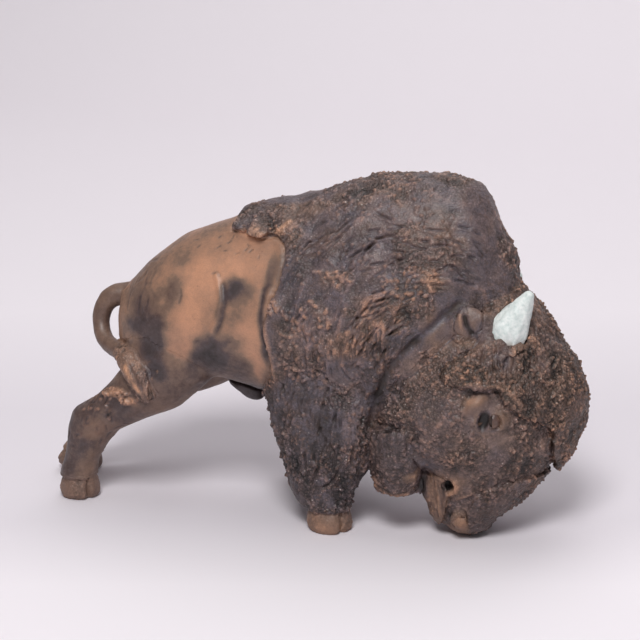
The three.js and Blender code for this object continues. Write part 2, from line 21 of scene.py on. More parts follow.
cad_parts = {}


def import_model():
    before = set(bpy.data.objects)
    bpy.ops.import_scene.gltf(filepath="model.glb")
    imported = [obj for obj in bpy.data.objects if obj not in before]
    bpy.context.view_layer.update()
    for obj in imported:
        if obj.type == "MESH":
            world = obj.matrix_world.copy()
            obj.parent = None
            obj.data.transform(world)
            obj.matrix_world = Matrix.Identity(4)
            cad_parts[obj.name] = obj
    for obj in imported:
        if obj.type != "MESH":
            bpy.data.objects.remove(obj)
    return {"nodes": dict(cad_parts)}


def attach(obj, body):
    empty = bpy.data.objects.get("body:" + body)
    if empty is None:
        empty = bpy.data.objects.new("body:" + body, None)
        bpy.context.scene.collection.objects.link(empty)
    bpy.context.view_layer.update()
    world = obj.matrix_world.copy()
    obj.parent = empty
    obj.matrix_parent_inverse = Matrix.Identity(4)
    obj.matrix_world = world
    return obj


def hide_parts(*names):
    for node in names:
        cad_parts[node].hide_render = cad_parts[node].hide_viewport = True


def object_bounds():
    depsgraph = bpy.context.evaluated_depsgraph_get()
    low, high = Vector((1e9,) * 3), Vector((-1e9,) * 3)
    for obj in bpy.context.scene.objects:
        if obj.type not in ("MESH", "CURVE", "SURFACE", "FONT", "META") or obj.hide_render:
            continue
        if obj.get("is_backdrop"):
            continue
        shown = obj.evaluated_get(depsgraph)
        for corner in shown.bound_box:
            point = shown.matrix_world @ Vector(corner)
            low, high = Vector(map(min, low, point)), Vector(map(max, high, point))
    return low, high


log = logging.getLogger("bison")
MM = 0.001
BODY = "root"
Socket = bpy.types.NodeSocket


class Seed(IntEnum):
    """The start of each random pattern; the last four share a number with another one."""

    LUMPS = 3
    STRANDS = 5
    THIN_STRANDS = 6
    CLUMPS = 7
    COMBED_PATCHES = 8
    DENSITY = 9
    LARGE_GRAINS = 11
    EYE_LUMPS = 15
    EYE_SHINE = 16
    SMALL_GRAINS = 21
    FINE = 31
    SPOT_EDGES = 40
    BROKEN_RIMS = 55
    LOOSE_EDGES = 60
    FLOW = 70
    CRUMB_EDGES = 77
    GRAIN_EDGES = 80
    WORN_PATCHES = 91
    SMOKE = 93
    HORN_TOOL = 5
    HORN_FINE = 6
    HORN_ROOT = 9
    STREWN = 7


def linear(hexcode: str) -> tuple:
    """Converts an sRGB hex colour to linear RGBA.

    Args:
        hexcode: six hexadecimal digits.

    Returns:
        Four floats, alpha last.
    """
    values = [int(hexcode[i : i + 2], 16) / 255 for i in (0, 2, 4)]
    return tuple(v / 12.92 if v <= 0.04045 else ((v + 0.055) / 1.055) ** 2.4 for v in values) + (1.0,)


# Noise on arrays of points


def lattice(cell: np.ndarray, seed: int) -> np.ndarray:
    """Random number for each cell of space.

    Args:
        cell: N x 3 whole numbers.
        seed: whole number.

    Returns:
        N values from 0 to 1.
    """
    c = cell.astype(np.int64).astype(np.uint32)
    h = c[:, 0] * np.uint32(374761393) + c[:, 1] * np.uint32(668265263)
    h = h + c[:, 2] * np.uint32(2147483647 - 19)
    h = h + np.uint32((seed * 974711 + 12345) & 0xFFFFFFFF)
    h = (h ^ (h >> np.uint32(13))) * np.uint32(1274126177)
    h = (h ^ (h >> np.uint32(16))) * np.uint32(2246822519)
    return ((h ^ (h >> np.uint32(15))) & np.uint32(0xFFFFFF)).astype(np.float64) / 0xFFFFFF


def noise(points: np.ndarray, size: float, seed: int) -> np.ndarray:
    """Smooth noise.

    Args:
        points: N x 3 places in millimetres.
        size: distance between two lattice points in millimetres.
        seed: whole number.

    Returns:
        N values from -1 to 1.
    """
    q = points / size
    cell = np.floor(q)
    f = q - cell
    f = f * f * (3 - 2 * f)
    total = np.zeros(len(points))
    for corner in np.ndindex(2, 2, 2):
        weight = np.prod([f[:, k] if corner[k] else 1 - f[:, k] for k in range(3)], axis=0)
        total += weight * lattice(cell + np.array(corner), seed)
    return total * 2 - 1


def fractal(points: np.ndarray, size: float, seed: int, octaves: int = 3) -> np.ndarray:
    """Noise of several sizes, each half the one before.

    Args:
        points: N x 3 places in millimetres.
        size: distance between two lattice points of the largest, in millimetres.
        seed: whole number.
        octaves: how many sizes.

    Returns:
        N values from -1 to 1.
    """
    total = np.zeros(len(points))
    for k in range(octaves):
        total += noise(points + 17.3 * k, size / 2**k, seed + k) / 2**k
    return total / (2 - 2.0 ** (1 - octaves))


def drift(points: np.ndarray, size: float, seed: int, octaves: int = 1) -> np.ndarray:
    """Noise along the three axes at once.

    Args:
        points: N x 3 places in millimetres.
        size: distance between two lattice points of the largest noise, in millimetres.
        seed: whole number.
        octaves: how many sizes of noise.

    Returns:
        N x 3 values from -1 to 1.
    """
    return np.stack([fractal(points, size, seed + k, octaves) for k in range(3)], axis=1)


def crumbs(points: np.ndarray, size: float, seed: int) -> tuple:
    """Scattered crumbs, one in each cell of space.

    Args:
        points: N x 3 places in millimetres.
        size: width of a cell in millimetres.
        seed: whole number.

    Returns:
        The distance to the nearest crumb's middle in sizes, and that crumb's random number.
    """
    q = points / size
    base = np.floor(q)
    best = np.full(len(points), 9.0)
    number = np.zeros(len(points))
    for step in np.ndindex(3, 3, 3):
        cell = base + np.array(step) - 1
        middle = cell + np.stack([lattice(cell, seed + k) for k in range(3)], axis=1)
        gap = np.linalg.norm(middle - q, axis=1)
        closer = gap < best
        best = np.where(closer, gap, best)
        number = np.where(closer, lattice(cell, seed + 7), number)
    return best, number


def ramp(values: np.ndarray, low: float, high: float) -> np.ndarray:
    """Soft step from 0 at low to 1 at high."""
    t = np.clip((values - low) / (high - low), 0, 1)
    return t * t * (3 - 2 * t)


# What the tables are made of


class Where(Enum):
    """Which side of the animal carries a detail."""

    RIGHT = "right"
    LEFT = "left"
    BOTH = "both"


@dataclass(frozen=True)
class Skin:
    """How the clay of one solid is worked.

    Args:
        grain: amount of coarse grog grains.
        comb: amount of combed strokes.
        lump: height of soft hand-made waves, in millimetres.
        soot: smoke, 0 bare, 0.5 ash brown, 1 black brown, 1.6 black; spots, lines, strokes and rims add
            painted shade to the same value.
        wear: share of bare tan clay on high spots.
        warm: from cool grey 0 to warm brown 1.
        soften: 0 keeps small forms, 1 takes the facets of large ones away.
    """

    grain: float = 0.0
    comb: float = 0.0
    lump: float = 0.3
    soot: float = 0.0
    wear: float = 0.0
    warm: float = 0.5
    soften: float = 0.0


@dataclass(frozen=True)
class Spot:
    """A soft round place on the clay, drawn on the right side.

    Args:
        at: middle.
        size: half sizes along X, Y and Z.
        cover: how fully the spot's own smoke, wear and warmth take over.
        soot, wear, warm: its own values; in the spots named so in the table the darkening is painted shade
            and the lightening a painted sheen.
        calm: share of grains and strokes that is smoothed away.
        height: height added outwards.
        comb: added strands of hair.
        tilt: turn in side view in degrees, positive lifts the front.
        edge: how soft the edge is, in shares of the size.
        where: the sides that carry it.
        on_head: whether its left copy mirrors about the head's own middle.
    """

    at: tuple
    size: tuple
    cover: float = 0.0
    soot: float = 0.5
    wear: float = 0.0
    warm: float = 0.5
    calm: float = 0.0
    height: float = 0.0
    comb: float = 0.0
    tilt: float = 0.0
    edge: float = 0.8
    where: Where = Where.BOTH
    on_head: bool = False


@dataclass(frozen=True)
class Line:
    """A line pressed into the clay or laid on it, drawn on the right side.

    Args:
        path: points along the line.
        width: half width.
        height: positive for a ridge, negative for a groove.
        soot, wear: added darkening and bare clay along it; along a groove the darkening is painted shade,
            and a negative value lightens a ridge.
        where: the sides that carry it.
        on_head: whether its left copy mirrors about the head's own middle.
    """

    path: tuple
    width: float
    height: float
    soot: float = 0.0
    wear: float = 0.0
    where: Where = Where.BOTH
    on_head: bool = False


@dataclass(frozen=True)
class Filler:
    """A lump of clay smeared into a corner between two solids, drawn on the right side.

    Args:
        at: middle.
        size: half sizes.
        where: the sides that carry it.
        on_head: whether its left copy mirrors about the head's own middle.
    """

    at: tuple
    size: tuple
    where: Where = Where.BOTH
    on_head: bool = True


@dataclass(frozen=True)
class Strewn:
    """Clay crumbs or comb strokes strewn over one area, drawn on the right side.

    Args:
        at, size: middle and half sizes of the area.
        count: how many.
        length: smallest and largest length.
        width: half width.
        height: height of a crumb, or depth of a stroke where negative.
        wear: bare clay on it.
        soot: darkening in the groove of a stroke, a painted shade.
        where: the sides that carry it.
        on_head: whether its left copy mirrors about the head's own middle.
        on_coat: whether it keeps to the coarse clay.
    """

    at: tuple
    size: tuple
    count: int
    length: tuple
    width: float
    height: float
    wear: float = 0.8
    soot: float = 0.25
    where: Where = Where.BOTH
    on_head: bool = False
    on_coat: bool = True


SKINS = {
    "body_shell": Skin(grain=0.02, lump=0.4, soot=0.3, soften=1.0, warm=0.6),
    "belly_sheath": Skin(grain=0.15, lump=0.5, soot=1.15, warm=0.2),
    "hind_leg": Skin(grain=0.08, comb=0.1, lump=0.55, soot=0.62, wear=0.1, soften=0.5),
    "tail_tuft": Skin(grain=0.6, comb=1.0, lump=0.7, soot=0.72, wear=0.5, warm=0.9),
    "tail": Skin(grain=0.05, comb=0.15, lump=0.35, soot=0.7, wear=0.05, warm=0.8),
    "mane_coat": Skin(grain=0.75, comb=0.5, lump=0.55, soot=0.9, wear=0.35, warm=0.35, soften=0.4),
    "saddle_patch": Skin(grain=0.75, comb=0.6, lump=0.6, soot=0.86, wear=0.5, warm=0.5, soften=0.4),
    "fore_leg": Skin(grain=0.9, comb=0.5, lump=0.7, soot=1.0, wear=0.22, warm=0.35, soften=0.5),
    "hoof_fore": Skin(grain=0.3, comb=0.2, lump=0.6, soot=0.45, wear=0.5, warm=0.9),
    "hoof_hind": Skin(grain=0.4, comb=0.2, lump=0.8, soot=0.68, wear=0.5, warm=0.6),
    "head": Skin(grain=0.85, comb=0.15, lump=0.6, soot=0.88, wear=0.32, warm=0.5, soften=0.5),
    "forelock": Skin(grain=1.0, comb=0.25, lump=0.7, soot=0.85, wear=0.5, warm=0.75, soften=0.4),
    "nose_bridge": Skin(grain=0.85, comb=0.1, lump=0.5, soot=0.95, wear=0.3, warm=0.55),
    "upper_lip": Skin(grain=0.55, comb=0.3, lump=0.9, soot=0.55, wear=0.3, warm=1.0),
    "nose_pad": Skin(grain=0.4, comb=0.1, lump=0.8, soot=0.5, wear=0.4, warm=1.0),
    "lower_jaw": Skin(grain=0.7, comb=0.3, lump=0.7, soot=0.95, wear=0.25, warm=0.4, soften=0.4),
    "brow": Skin(grain=0.08, comb=0.0, lump=0.3, soot=0.5, wear=0.3, warm=0.9),
    "ear": Skin(grain=0.08, comb=0.1, lump=0.2, soot=0.75, wear=0.2, warm=0.5),
}

# The solids whose clay is smeared together without a step.
BLENDED = (
    ("body_shell", "hind_leg", "belly_sheath"),
    ("mane_coat", "fore_leg"),
    ("head", "ear", "lower_jaw", "brow"),
)

FILLERS = (
    Filler((106.8, -40.2, 68.9), (7.6, 3.0, 6.6)),
    Filler((91.0, -30.6, 113.0), (10.5, 4.2, 10.5), Where.RIGHT),
    Filler((96.5, -30.6, 113.0), (6.5, 4.0, 7.5), Where.RIGHT),
    Filler((111.8, -32.2, 105.6), (6.4, 4.8, 3.9)),
    Filler((-27.0, -15.6, 149.6), (10.0, 5.4, 3.0), Where.RIGHT, False),
    Filler((-18.0, -20.6, 149.4), (6.5, 3.6, 3.4), Where.RIGHT, False),
    Filler((71.0, -27.0, 30.0), (6.0, 5.5, 12.0)),
    Filler((66.5, -39.0, 47.0), (7.0, 5.0, 9.5)),
    Filler((67.0, -29.0, 41.5), (6.0, 9.0, 5.0)),
    Filler((65.6, -34.6, 34.4), (4.6, 4.2, 4.4)),
    Filler((50.0, -29.0, 26.0), (6.5, 9.0, 5.5)),
    Filler((131.0, -18.5, 52.0), (4.0, 9.0, 5.0)),
    Filler((88.6, -29.4, 14.6), (5.0, 3.4, 5.6)),
)

SPOTS = (
    # Airbrushed smoke on rump, thigh and flank, from broad to small
    Spot((-84, -25, 110), (16, 40, 28), cover=0.9, soot=0.66, tilt=20),
    Spot((-60, -10, 138), (30, 12, 6), cover=0.8, soot=0.52, tilt=30),
    Spot((-60, -36, 74), (28, 40, 12), cover=0.9, soot=0.72, tilt=20),
    Spot((-34, -36, 80), (22, 40, 11), cover=0.9, soot=0.75, tilt=-8),
    Spot((-45, -32, 124), (27, 30, 9), cover=0.95, soot=0.0, tilt=14),
    Spot((-20, -28, 139), (15, 30, 8), cover=0.85, soot=0.16, tilt=-5),
    Spot((-50, -36, 106), (8.5, 30, 22), cover=0.95, soot=0.0, tilt=-8),
    Spot((-30, -34, 133), (16, 30, 6), cover=0.8, soot=0.05),
    Spot((-63, -38, 91), (6, 30, 6), cover=0.75, soot=0.2, tilt=25),
    Spot((-17, -38, 97), (6.5, 30, 14), cover=0.9, soot=0.08, tilt=8),
    Spot((-13.5, -38, 84), (5, 30, 9), cover=0.85, soot=0.08),
    Spot((-30, -36, 106), (6, 30, 9), cover=0.5, soot=0.5),
    Spot((-63, -34, 117), (7.5, 30, 8), cover=0.9, soot=0.84, tilt=35, warm=0.8),
    Spot((-70, -34, 109), (9, 30, 8), cover=0.85, soot=0.74, tilt=35, warm=0.9),
    Spot((-77, -34, 99), (11, 30, 11), cover=0.95, soot=1.12, tilt=25, warm=0.5),
    Spot((-72, -34, 86), (9, 30, 9), cover=0.95, soot=1.2, tilt=15, warm=0.3),
    Spot((-70, -38, 76), (8, 30, 6), cover=0.9, soot=1.25, tilt=15, warm=0.2),
    Spot((-68, -30, 112), (3.2, 30, 2.6), cover=0.7, soot=0.25, tilt=40),
    Spot((-27.5, -34, 121), (8.5, 30, 7.5), cover=0.98, soot=1.14, warm=0.3),
    Spot((-24, -36, 110), (5, 30, 8), cover=0.6, soot=0.62, tilt=-20),
    Spot((-34.5, -38, 112), (2.6, 30, 12), cover=0.6, soot=0.8),
    Spot((-39, -39, 89), (10, 30, 10.5), cover=0.98, soot=1.3, tilt=20, warm=0.3),
    Spot((-45, -38, 80), (10, 30, 6), cover=0.7, soot=0.92, tilt=25),
    Spot((-28, -34, 79), (9, 30, 6), cover=0.8, soot=0.85),
    Spot((-26, -24, 66), (24, 40, 8), cover=0.9, soot=1.1, warm=0.4),
    Spot((-62, -20, 66), (22, 30, 6), cover=0.8, soot=0.95, warm=0.8, tilt=24),
    Spot((-23, -18, 153), (10, 22, 4.4), cover=0.7, soot=0.88, tilt=10, warm=0.2),
    # Painted shadow: a narrow dark band on the flank along the coat's rear edge
    Spot((-11, -33, 121), (2.8, 30, 18), cover=0.8, soot=0.95, tilt=-6),
    Spot((-9.5, -38, 96), (3, 30, 12), cover=0.85, soot=1.05),
    Spot((-63, -16, 131), (9, 14, 5), cover=0.7, soot=0.66, tilt=36),
    # Hind legs and tail
    Spot((-100, -35, 50), (20, 30, 12), cover=0.95, soot=0.9, tilt=30),
    Spot((-118, -34, 30), (16, 30, 20), cover=0.98, soot=1.0),
    Spot((-112, -34, 44), (12, 30, 8), cover=0.9, soot=0.9, tilt=20),
    Spot((-106, -36, 40), (9, 30, 5), cover=0.7, soot=0.5, wear=0.3, warm=0.9, tilt=20),
    Spot((-122, -34, 18), (7, 30, 8), cover=0.7, soot=1.0),
    Spot((-90, -36, 60), (20, 30, 9), cover=0.8, soot=0.82, warm=0.7),
    Spot((-92, -36, 56), (8, 14, 5), cover=0.85, soot=1.1, warm=0.5, tilt=18),
    Spot((-93, -36, 61.6), (6.4, 14, 2.0), cover=0.85, soot=0.25, wear=0.7, warm=1.0, tilt=18, edge=0.6),
    Spot((-84, -38, 58.6), (4.2, 14, 1.9), cover=0.8, soot=0.25, wear=0.6, warm=1.0, tilt=-18, edge=0.6),
    Spot((-110, -10, 92), (16, 30, 20), cover=0.5, soot=0.7),
    # Coat: calm cool places and warm combed ones
    Spot((-3, -36, 134), (8, 20, 9), cover=0.7, soot=0.8, warm=0.0, calm=0.7, tilt=20),
    Spot((-2, -40, 102), (8, 20, 9), cover=0.6, soot=0.85, warm=0.1, calm=0.45),
    Spot((2, -12, 158), (14, 24, 5), cover=0.5, soot=0.68, warm=0.5, calm=0.65, tilt=18),
    Spot((20, -36, 132), (9, 18, 12), cover=0.35, soot=0.82, warm=0.1, calm=0.55, tilt=30),
    Spot((78, -24, 158), (15, 24, 12), cover=0.6, soot=0.74, warm=0.1, calm=0.7),
    Spot((60, -22, 166), (8, 20, 5), cover=0.6, soot=0.68, warm=0.0, calm=0.8),
    Spot((88, -26, 136), (12, 24, 12), cover=0.4, soot=0.85, warm=0.4, calm=0.4),
    Spot((47, -40, 116), (10, 16, 13), cover=0.6, soot=0.62, wear=0.75, warm=1.0, comb=0.9, tilt=35),
    Spot((30, -42, 104), (11, 16, 7), cover=0.6, soot=0.62, wear=0.7, warm=1.0, comb=0.8, tilt=30),
    Spot((22, -30, 150), (7, 16, 8), cover=0.5, soot=0.66, wear=0.6, warm=1.0, comb=0.8, tilt=60),
    Spot((74, -34, 134), (7, 16, 5), cover=0.7, soot=0.5, wear=0.9, warm=1.0, tilt=-10),
    Spot((64, -38, 107), (12, 16, 8), cover=0.85, soot=1.2, warm=0.3, comb=0.5, tilt=45),
    Spot((50, -40, 84), (10, 16, 16), cover=0.7, soot=1.15, warm=0.2, where=Where.RIGHT),
    Spot((59, -38, 126), (11, 16, 11), cover=0.8, soot=1.4, warm=0.9, comb=0.6, tilt=30),
    Spot((20, -42, 41), (16, 20, 20), cover=0.5, soot=1.35, warm=0.2),
    Spot((60, -44, 56), (9, 16, 8), cover=0.6, soot=1.3, warm=0.3, on_head=True),
    Spot((129, -14, 90), (10, 18, 18), cover=0.6, soot=0.6, warm=0.15),
    Spot((14, -34, 44), (20, 30, 30), cover=0.6, soot=1.22, warm=0.2),
    Spot((28, -36, 20), (14, 30, 14), cover=0.5, soot=1.2, warm=0.1),
    Spot((-10, -44, 78), (6, 20, 10), cover=0.6, soot=1.0, wear=0.9, warm=1.0),
    Spot(
        (-27, -17, 151), (5, 12, 4),
        cover=0.7, soot=1.0, warm=0.0, calm=0.5, height=-1.4, tilt=10, where=Where.RIGHT,
    ),
    Spot((-19, -24, 149), (4.5, 12, 2.2), cover=0.8, soot=0.75, wear=0.45, warm=1.0, where=Where.RIGHT),
    Spot((-9, -24, 150), (4, 12, 2.4), cover=0.7, soot=0.5, wear=0.8, warm=1.0, tilt=24, where=Where.RIGHT),
    # Head: calm neck with a painted sheen, eye surround and cheek hollow
    Spot(
        (77, -34, 109), (10, 14, 11),
        cover=0.9, soot=0.62, warm=0.0, calm=0.95, tilt=40, where=Where.RIGHT,
    ),
    Spot((65, -41, 95), (7, 12, 8), cover=0.8, soot=0.7, warm=0.0, calm=0.85, tilt=45, where=Where.RIGHT),
    Spot((104, -42, 70), (11, 16, 13), cover=0.85, soot=0.8, warm=0.1, calm=0.97, on_head=True),
    Spot((109, -38, 58), (9, 14, 6), cover=0.7, soot=0.68, warm=0.0, calm=0.85, on_head=True),
    Spot((97, -44, 85), (10, 14, 3), cover=0.8, soot=1.2, warm=0.3, calm=0.6, on_head=True),
    Spot(
        (97, -45, 79.4), (6, 8, 2.6),
        cover=0.95, soot=0.4, wear=0.4, warm=1.0, calm=0.8, tilt=8, on_head=True,
    ),
    # Painted shade: the deep hole beside the eyeball is painted black
    Spot(
        (102.6, -44.4, 69.2), (2.7, 8, 5.0),
        cover=1.0, soot=1.9, calm=1.0, height=-2.2, tilt=-14, edge=0.6, on_head=True,
    ),
    Spot((110.5, -41, 69), (4.5, 8, 7), cover=0.7, soot=0.58, wear=0.1, warm=1.0, calm=0.9, on_head=True),
    Spot((101, -28, 112), (8, 14, 9), cover=0.8, soot=0.74, warm=0.2, calm=0.75, on_head=True),
    Spot((110, -33, 99), (7, 10, 4), cover=0.7, soot=0.66, warm=0.0, calm=0.8, on_head=True),
    Spot((112, -32, 104.4), (7, 9, 3.2), cover=0.9, soot=0.42, wear=0.6, warm=1.0, calm=0.0, on_head=True),
    Spot((91, -35, 106), (8, 9, 3), cover=0.8, soot=0.5, wear=0.35, warm=1.0, where=Where.RIGHT),
    Spot(
        (97.6, -33, 113.5), (4.6, 6, 7),
        cover=0.8, soot=0.92, warm=0.2, calm=0.9, height=-1.3, where=Where.RIGHT,
    ),
    Spot(
        (93.6, -33, 114.5), (2.2, 6, 4.2),
        cover=0.7, soot=0.66, warm=0.6, calm=1.0, height=0.5, tilt=-20, where=Where.RIGHT,
    ),
    Spot((73, -38, 41), (9, 12, 6), cover=0.7, soot=0.88, warm=0.0, calm=0.85, on_head=True),
    Spot((90, -38, 36), (9, 12, 7), cover=0.6, soot=0.85, warm=0.3, calm=0.7, on_head=True),
    Spot((60, -38, 48), (18, 20, 16), cover=0.7, soot=1.15, warm=0.3, on_head=True),
    # Lips, nostril and nose
    Spot(
        (65.6, -37.6, 35), (3.8, 5, 3.6),
        cover=0.95, soot=0.5, wear=0.3, warm=1.0, calm=1.0, height=1.2, on_head=True,
    ),
    Spot(
        (78, -33, 23), (5.5, 9, 15),
        cover=0.9, soot=0.55, wear=0.25, warm=1.0, calm=0.35, tilt=-8, on_head=True,
    ),
    Spot(
        (80, -37, 38), (4, 6, 4),
        cover=0.8, soot=0.6, wear=0.2, warm=1.0, calm=0.8, height=0.6, on_head=True,
    ),
    Spot((86, -37, 33), (6, 6, 7), cover=0.85, soot=0.55, wear=0.3, warm=1.0, calm=0.9, on_head=True),
    # Painted shade: the nostril's hole is painted black
    Spot(
        (82.8, -36, 31.6), (2.2, 7, 3.4),
        cover=1.0, soot=1.8, calm=1.0, height=-2.2, tilt=-16, edge=0.9, on_head=True,
    ),
    Spot(
        (89, -33, 13), (5.5, 6, 6),
        cover=0.95, soot=0.34, wear=0.55, warm=1.0, calm=0.5, height=1.9, edge=0.7, on_head=True,
    ),
    Spot((48, -32, 21), (9, 14, 3), cover=0.8, soot=0.4, wear=0.8, warm=1.0, on_head=True),
    # Painted shade: the crevice of the mouth is painted black
    Spot((69.5, -30, 27), (2.6, 9, 11), cover=0.9, soot=1.7, calm=0.8, height=-0.8, tilt=-6, on_head=True),
)

# Darkening along a groove in these lines is painted shade
LINES = (
    # Crease in front of the thigh, with painted shade in its grooves
    Line(
        ((-39, -31, 127), (-36.4, -34, 121), (-35.2, -36, 115), (-35.6, -38, 108), (-38.6, -39.6, 100)),
        1.4, 0.8, -0.05,
    ),
    Line(((-34.6, -33, 123), (-32.6, -36.5, 115), (-33, -38.6, 108), (-36, -40, 100)), 1.3, -0.7, 0.4),
    Line(((-41, -30, 127.6), (-39, -30.6, 129), (-37.4, -31, 127)), 0.8, -0.4, 0.4),
    Line(((-64, -36, 97), (-60, -37, 99), (-56, -38, 97)), 0.7, -0.4, soot=0.45),
    Line(((-52, -38, 95), (-48, -39, 94), (-45, -39, 95)), 0.7, -0.4, soot=0.4),
    Line(((-58, -33, 119), (-57, -34, 116), (-57.5, -35, 112)), 0.7, -0.3, soot=0.4),
    # Rim of the coat against the smooth flank, with painted shade in the groove behind it
    Line(
        ((-9.6, -37, 124), (-10, -39.6, 114), (-9.6, -42, 106), (-7, -44, 95), (-5.4, -42.6, 82)),
        1.4, 0.9, -0.2, 0.9,
    ),
    Line(
        ((-13, -36, 124), (-13.2, -38, 114), (-12.8, -40, 106), (-10, -42, 95), (-8.4, -41, 82)),
        1.2, -0.6, 0.6,
    ),
    Line(
        (
            (-33, -15.5, 148.6), (-27.5, -20, 147.8), (-22.5, -23, 147), (-17, -25, 148),
            (-11, -25.4, 148.6), (-4, -21, 155),
        ),
        1.8, 0.4, -0.4, 1.1,
    ),
    # Orange streak on the tuft, with painted shade in the groove beside it
    Line(((-86, -39.5, 77), (-82, -42, 72), (-78, -43.5, 66)), 1.5, -0.4, -0.7, 1.2, Where.RIGHT),
    Line(((-83.5, -40, 78), (-79.5, -43, 73), (-76, -43.5, 67)), 0.9, -0.5, 0.5, 0.0, Where.RIGHT),
    # Rim of the forelock
    Line(
        (
            (93, -47, 87.6), (100.6, -46, 86.8), (107, -42.6, 87.4), (111.4, -41, 87),
            (115.8, -39.8, 82.4), (119.6, -37.8, 77),
        ),
        1.4, 0.7, -0.2, 0.9, on_head=True,
    ),
    # Groove between coat and head, darkened as painted shade
    Line(
        (
            (44.5, -38, 60), (47.5, -40, 74), (53.5, -43.5, 88), (60.5, -43.4, 98.5), (67.6, -41, 105.6),
            (75, -38, 113), (81, -33.8, 119), (86, -31.5, 124),
        ),
        2.2, -1.6, soot=0.5, where=Where.RIGHT,
    ),
    # Ear: crack above, outline, tan rim and slot, with painted shade in crack, outline and slot
    Line(
        ((85, -33.5, 118), (86.2, -32.5, 119.8), (88.5, -31, 121), (94, -27, 122.4)),
        0.9, -1.1, 1.0, where=Where.RIGHT,
    ),
    Line(((85.8, -33.6, 118), (86.4, -34.4, 113), (87, -34, 108.5)), 0.9, -0.8, soot=0.6, where=Where.RIGHT),
    Line(
        ((87.6, -34.2, 119), (88.3, -34.8, 114), (88.8, -34.4, 109)),
        0.9, 0.6, soot=-0.25, wear=0.7, where=Where.RIGHT,
    ),
    Line(
        ((89.8, -34.4, 118.6), (90.8, -34.9, 115), (93.4, -34.2, 110.4)),
        1.3, -1.4, soot=1.0, where=Where.RIGHT,
    ),
    # Eyelids, and painted shade in the corner of the eye
    Line(
        ((99.0, -44.8, 73), (99.0, -45.2, 68.6), (100.6, -45, 64), (104.5, -43, 60.6)),
        0.9, 0.8, soot=-0.25, on_head=True,
    ),
    Line(
        ((99.6, -44.8, 73.4), (102, -44.6, 75.6), (106, -43, 76), (110.4, -41.4, 73.6)),
        0.9, 0.6, soot=-0.1, on_head=True,
    ),
    Line(((103.4, -44.6, 64.6), (106, -43.6, 63.8), (109, -42, 65)), 0.7, -0.5, soot=0.5, on_head=True),
    # Upright wrinkles of the lip strip, with painted shade in their grooves
    Line(
        ((75.6, -35.2, 33), (75.4, -34.4, 26), (76.2, -32.4, 18), (77.4, -30, 12)),
        0.6, -0.5, soot=0.5, on_head=True,
    ),
    Line(
        ((77.2, -36, 34), (77.2, -34.8, 27), (78, -33, 19), (79, -30.6, 12)),
        0.6, 0.4, soot=-0.2, wear=0.3, on_head=True,
    ),
    Line(
        ((79, -36.4, 34), (79, -35.4, 27), (79.6, -33.6, 20), (80.6, -31.4, 13)),
        0.6, -0.5, soot=0.45, on_head=True,
    ),
    Line(((81, -36.6, 26), (81.4, -35.2, 22), (82, -33.4, 17)), 0.5, -0.4, soot=0.4, on_head=True),
    # Nostril rim, nose wing and lobes, with painted shade in the grooves between them
    Line(
        ((84.6, -37.4, 37), (87.4, -38.2, 35.4), (88.4, -38, 32), (87.2, -37, 28.4), (83.8, -35.4, 26.6)),
        1.3, 1.8, soot=-0.4, wear=0.9, on_head=True,
    ),
    Line(((81, -36.6, 27), (80.4, -33, 20), (82.6, -31, 13)), 0.9, -0.7, soot=0.6, on_head=True),
    Line(
        ((85.6, -35, 19.6), (84.4, -33, 16), (83.8, -31, 12), (84.6, -30, 8)),
        1.2, -1.5, soot=1.0, on_head=True,
    ),
    Line(
        ((84.6, -35, 20.6), (88.4, -35.6, 22.6), (96, -36.4, 27), (105, -36, 30.4)),
        0.9, -0.6, soot=0.5, on_head=True,
    ),
    Line(
        ((85, -35.4, 22.4), (88.6, -35.8, 24.2), (96, -36.6, 28.4)),
        1.1, 0.9, soot=-0.3, wear=0.5, on_head=True,
    ),
    Line(((88, -35, 16), (89, -34.6, 12), (88.4, -33, 8.5)), 0.6, -0.4, soot=0.4, on_head=True),
    # Jaw's lower edge
    Line(
        ((44, -34, 30), (48, -35.6, 25.6), (52, -37, 23.6), (57, -38, 23.4), (62, -37, 24.6)),
        1.3, 0.6, -0.5, 1.0, on_head=True,
    ),
)

CRUMBS = (
    Strewn((-7, -38, 116), (9, 20, 3.4), 26, (2.2, 4.2), 1.0, 1.1, 0.9),
    Strewn((13, -41, 113), (12, 20, 9), 34, (2.0, 4.6), 1.0, 1.1, 0.9),
    Strewn((26, -36, 133), (12, 20, 4), 24, (1.8, 3.6), 0.9, 1.0, 0.8),
    Strewn((10, -42, 94), (18, 20, 14), 60, (1.6, 3.4), 0.9, 1.0, 0.65),
    Strewn((50, -20, 152), (30, 30, 22), 80, (1.4, 3.0), 0.9, 0.9, 0.5),
    Strewn((62, -34, 134), (14, 20, 8), 50, (1.4, 3.0), 0.9, 0.9, 0.9),
    Strewn((20, -30, 60), (30, 40, 40), 90, (1.4, 3.2), 0.9, 0.9, 0.4),
    Strewn((34, -40, 84), (24, 20, 24), 50, (1.4, 3.2), 0.9, 0.9, 0.5),
    Strewn((6, -30, 140), (18, 30, 12), 24, (1.4, 3.0), 0.9, 0.9, 0.6),
    Strewn((110, -26, 96), (30, 30, 26), 110, (1.4, 3.4), 0.9, 0.9, 0.45, on_head=True),
    Strewn((84, -44, 62), (18, 20, 24), 80, (1.4, 3.2), 0.9, 0.9, 0.45, on_head=True),
    Strewn((104, -30, 30), (16, 20, 12), 24, (1.4, 3.0), 0.9, 0.8, 0.4, on_head=True),
    Strewn((112, -31, 104.5), (7, 6, 3), 12, (1.6, 3.0), 1.0, 0.9, 0.7, on_head=True),
    Strewn((-91, -37, 60), (12, 14, 3.6), 60, (1.2, 3.0), 0.8, 1.1, 1.2, on_coat=False),
    Strewn((-104, -36, 50), (10, 14, 7), 16, (1.6, 3.0), 0.8, 0.6, 0.7, on_coat=False),
    Strewn((-76, -38, 76), (8, 14, 8), 10, (1.4, 2.4), 0.7, 0.5, 0.6, on_coat=False),
)

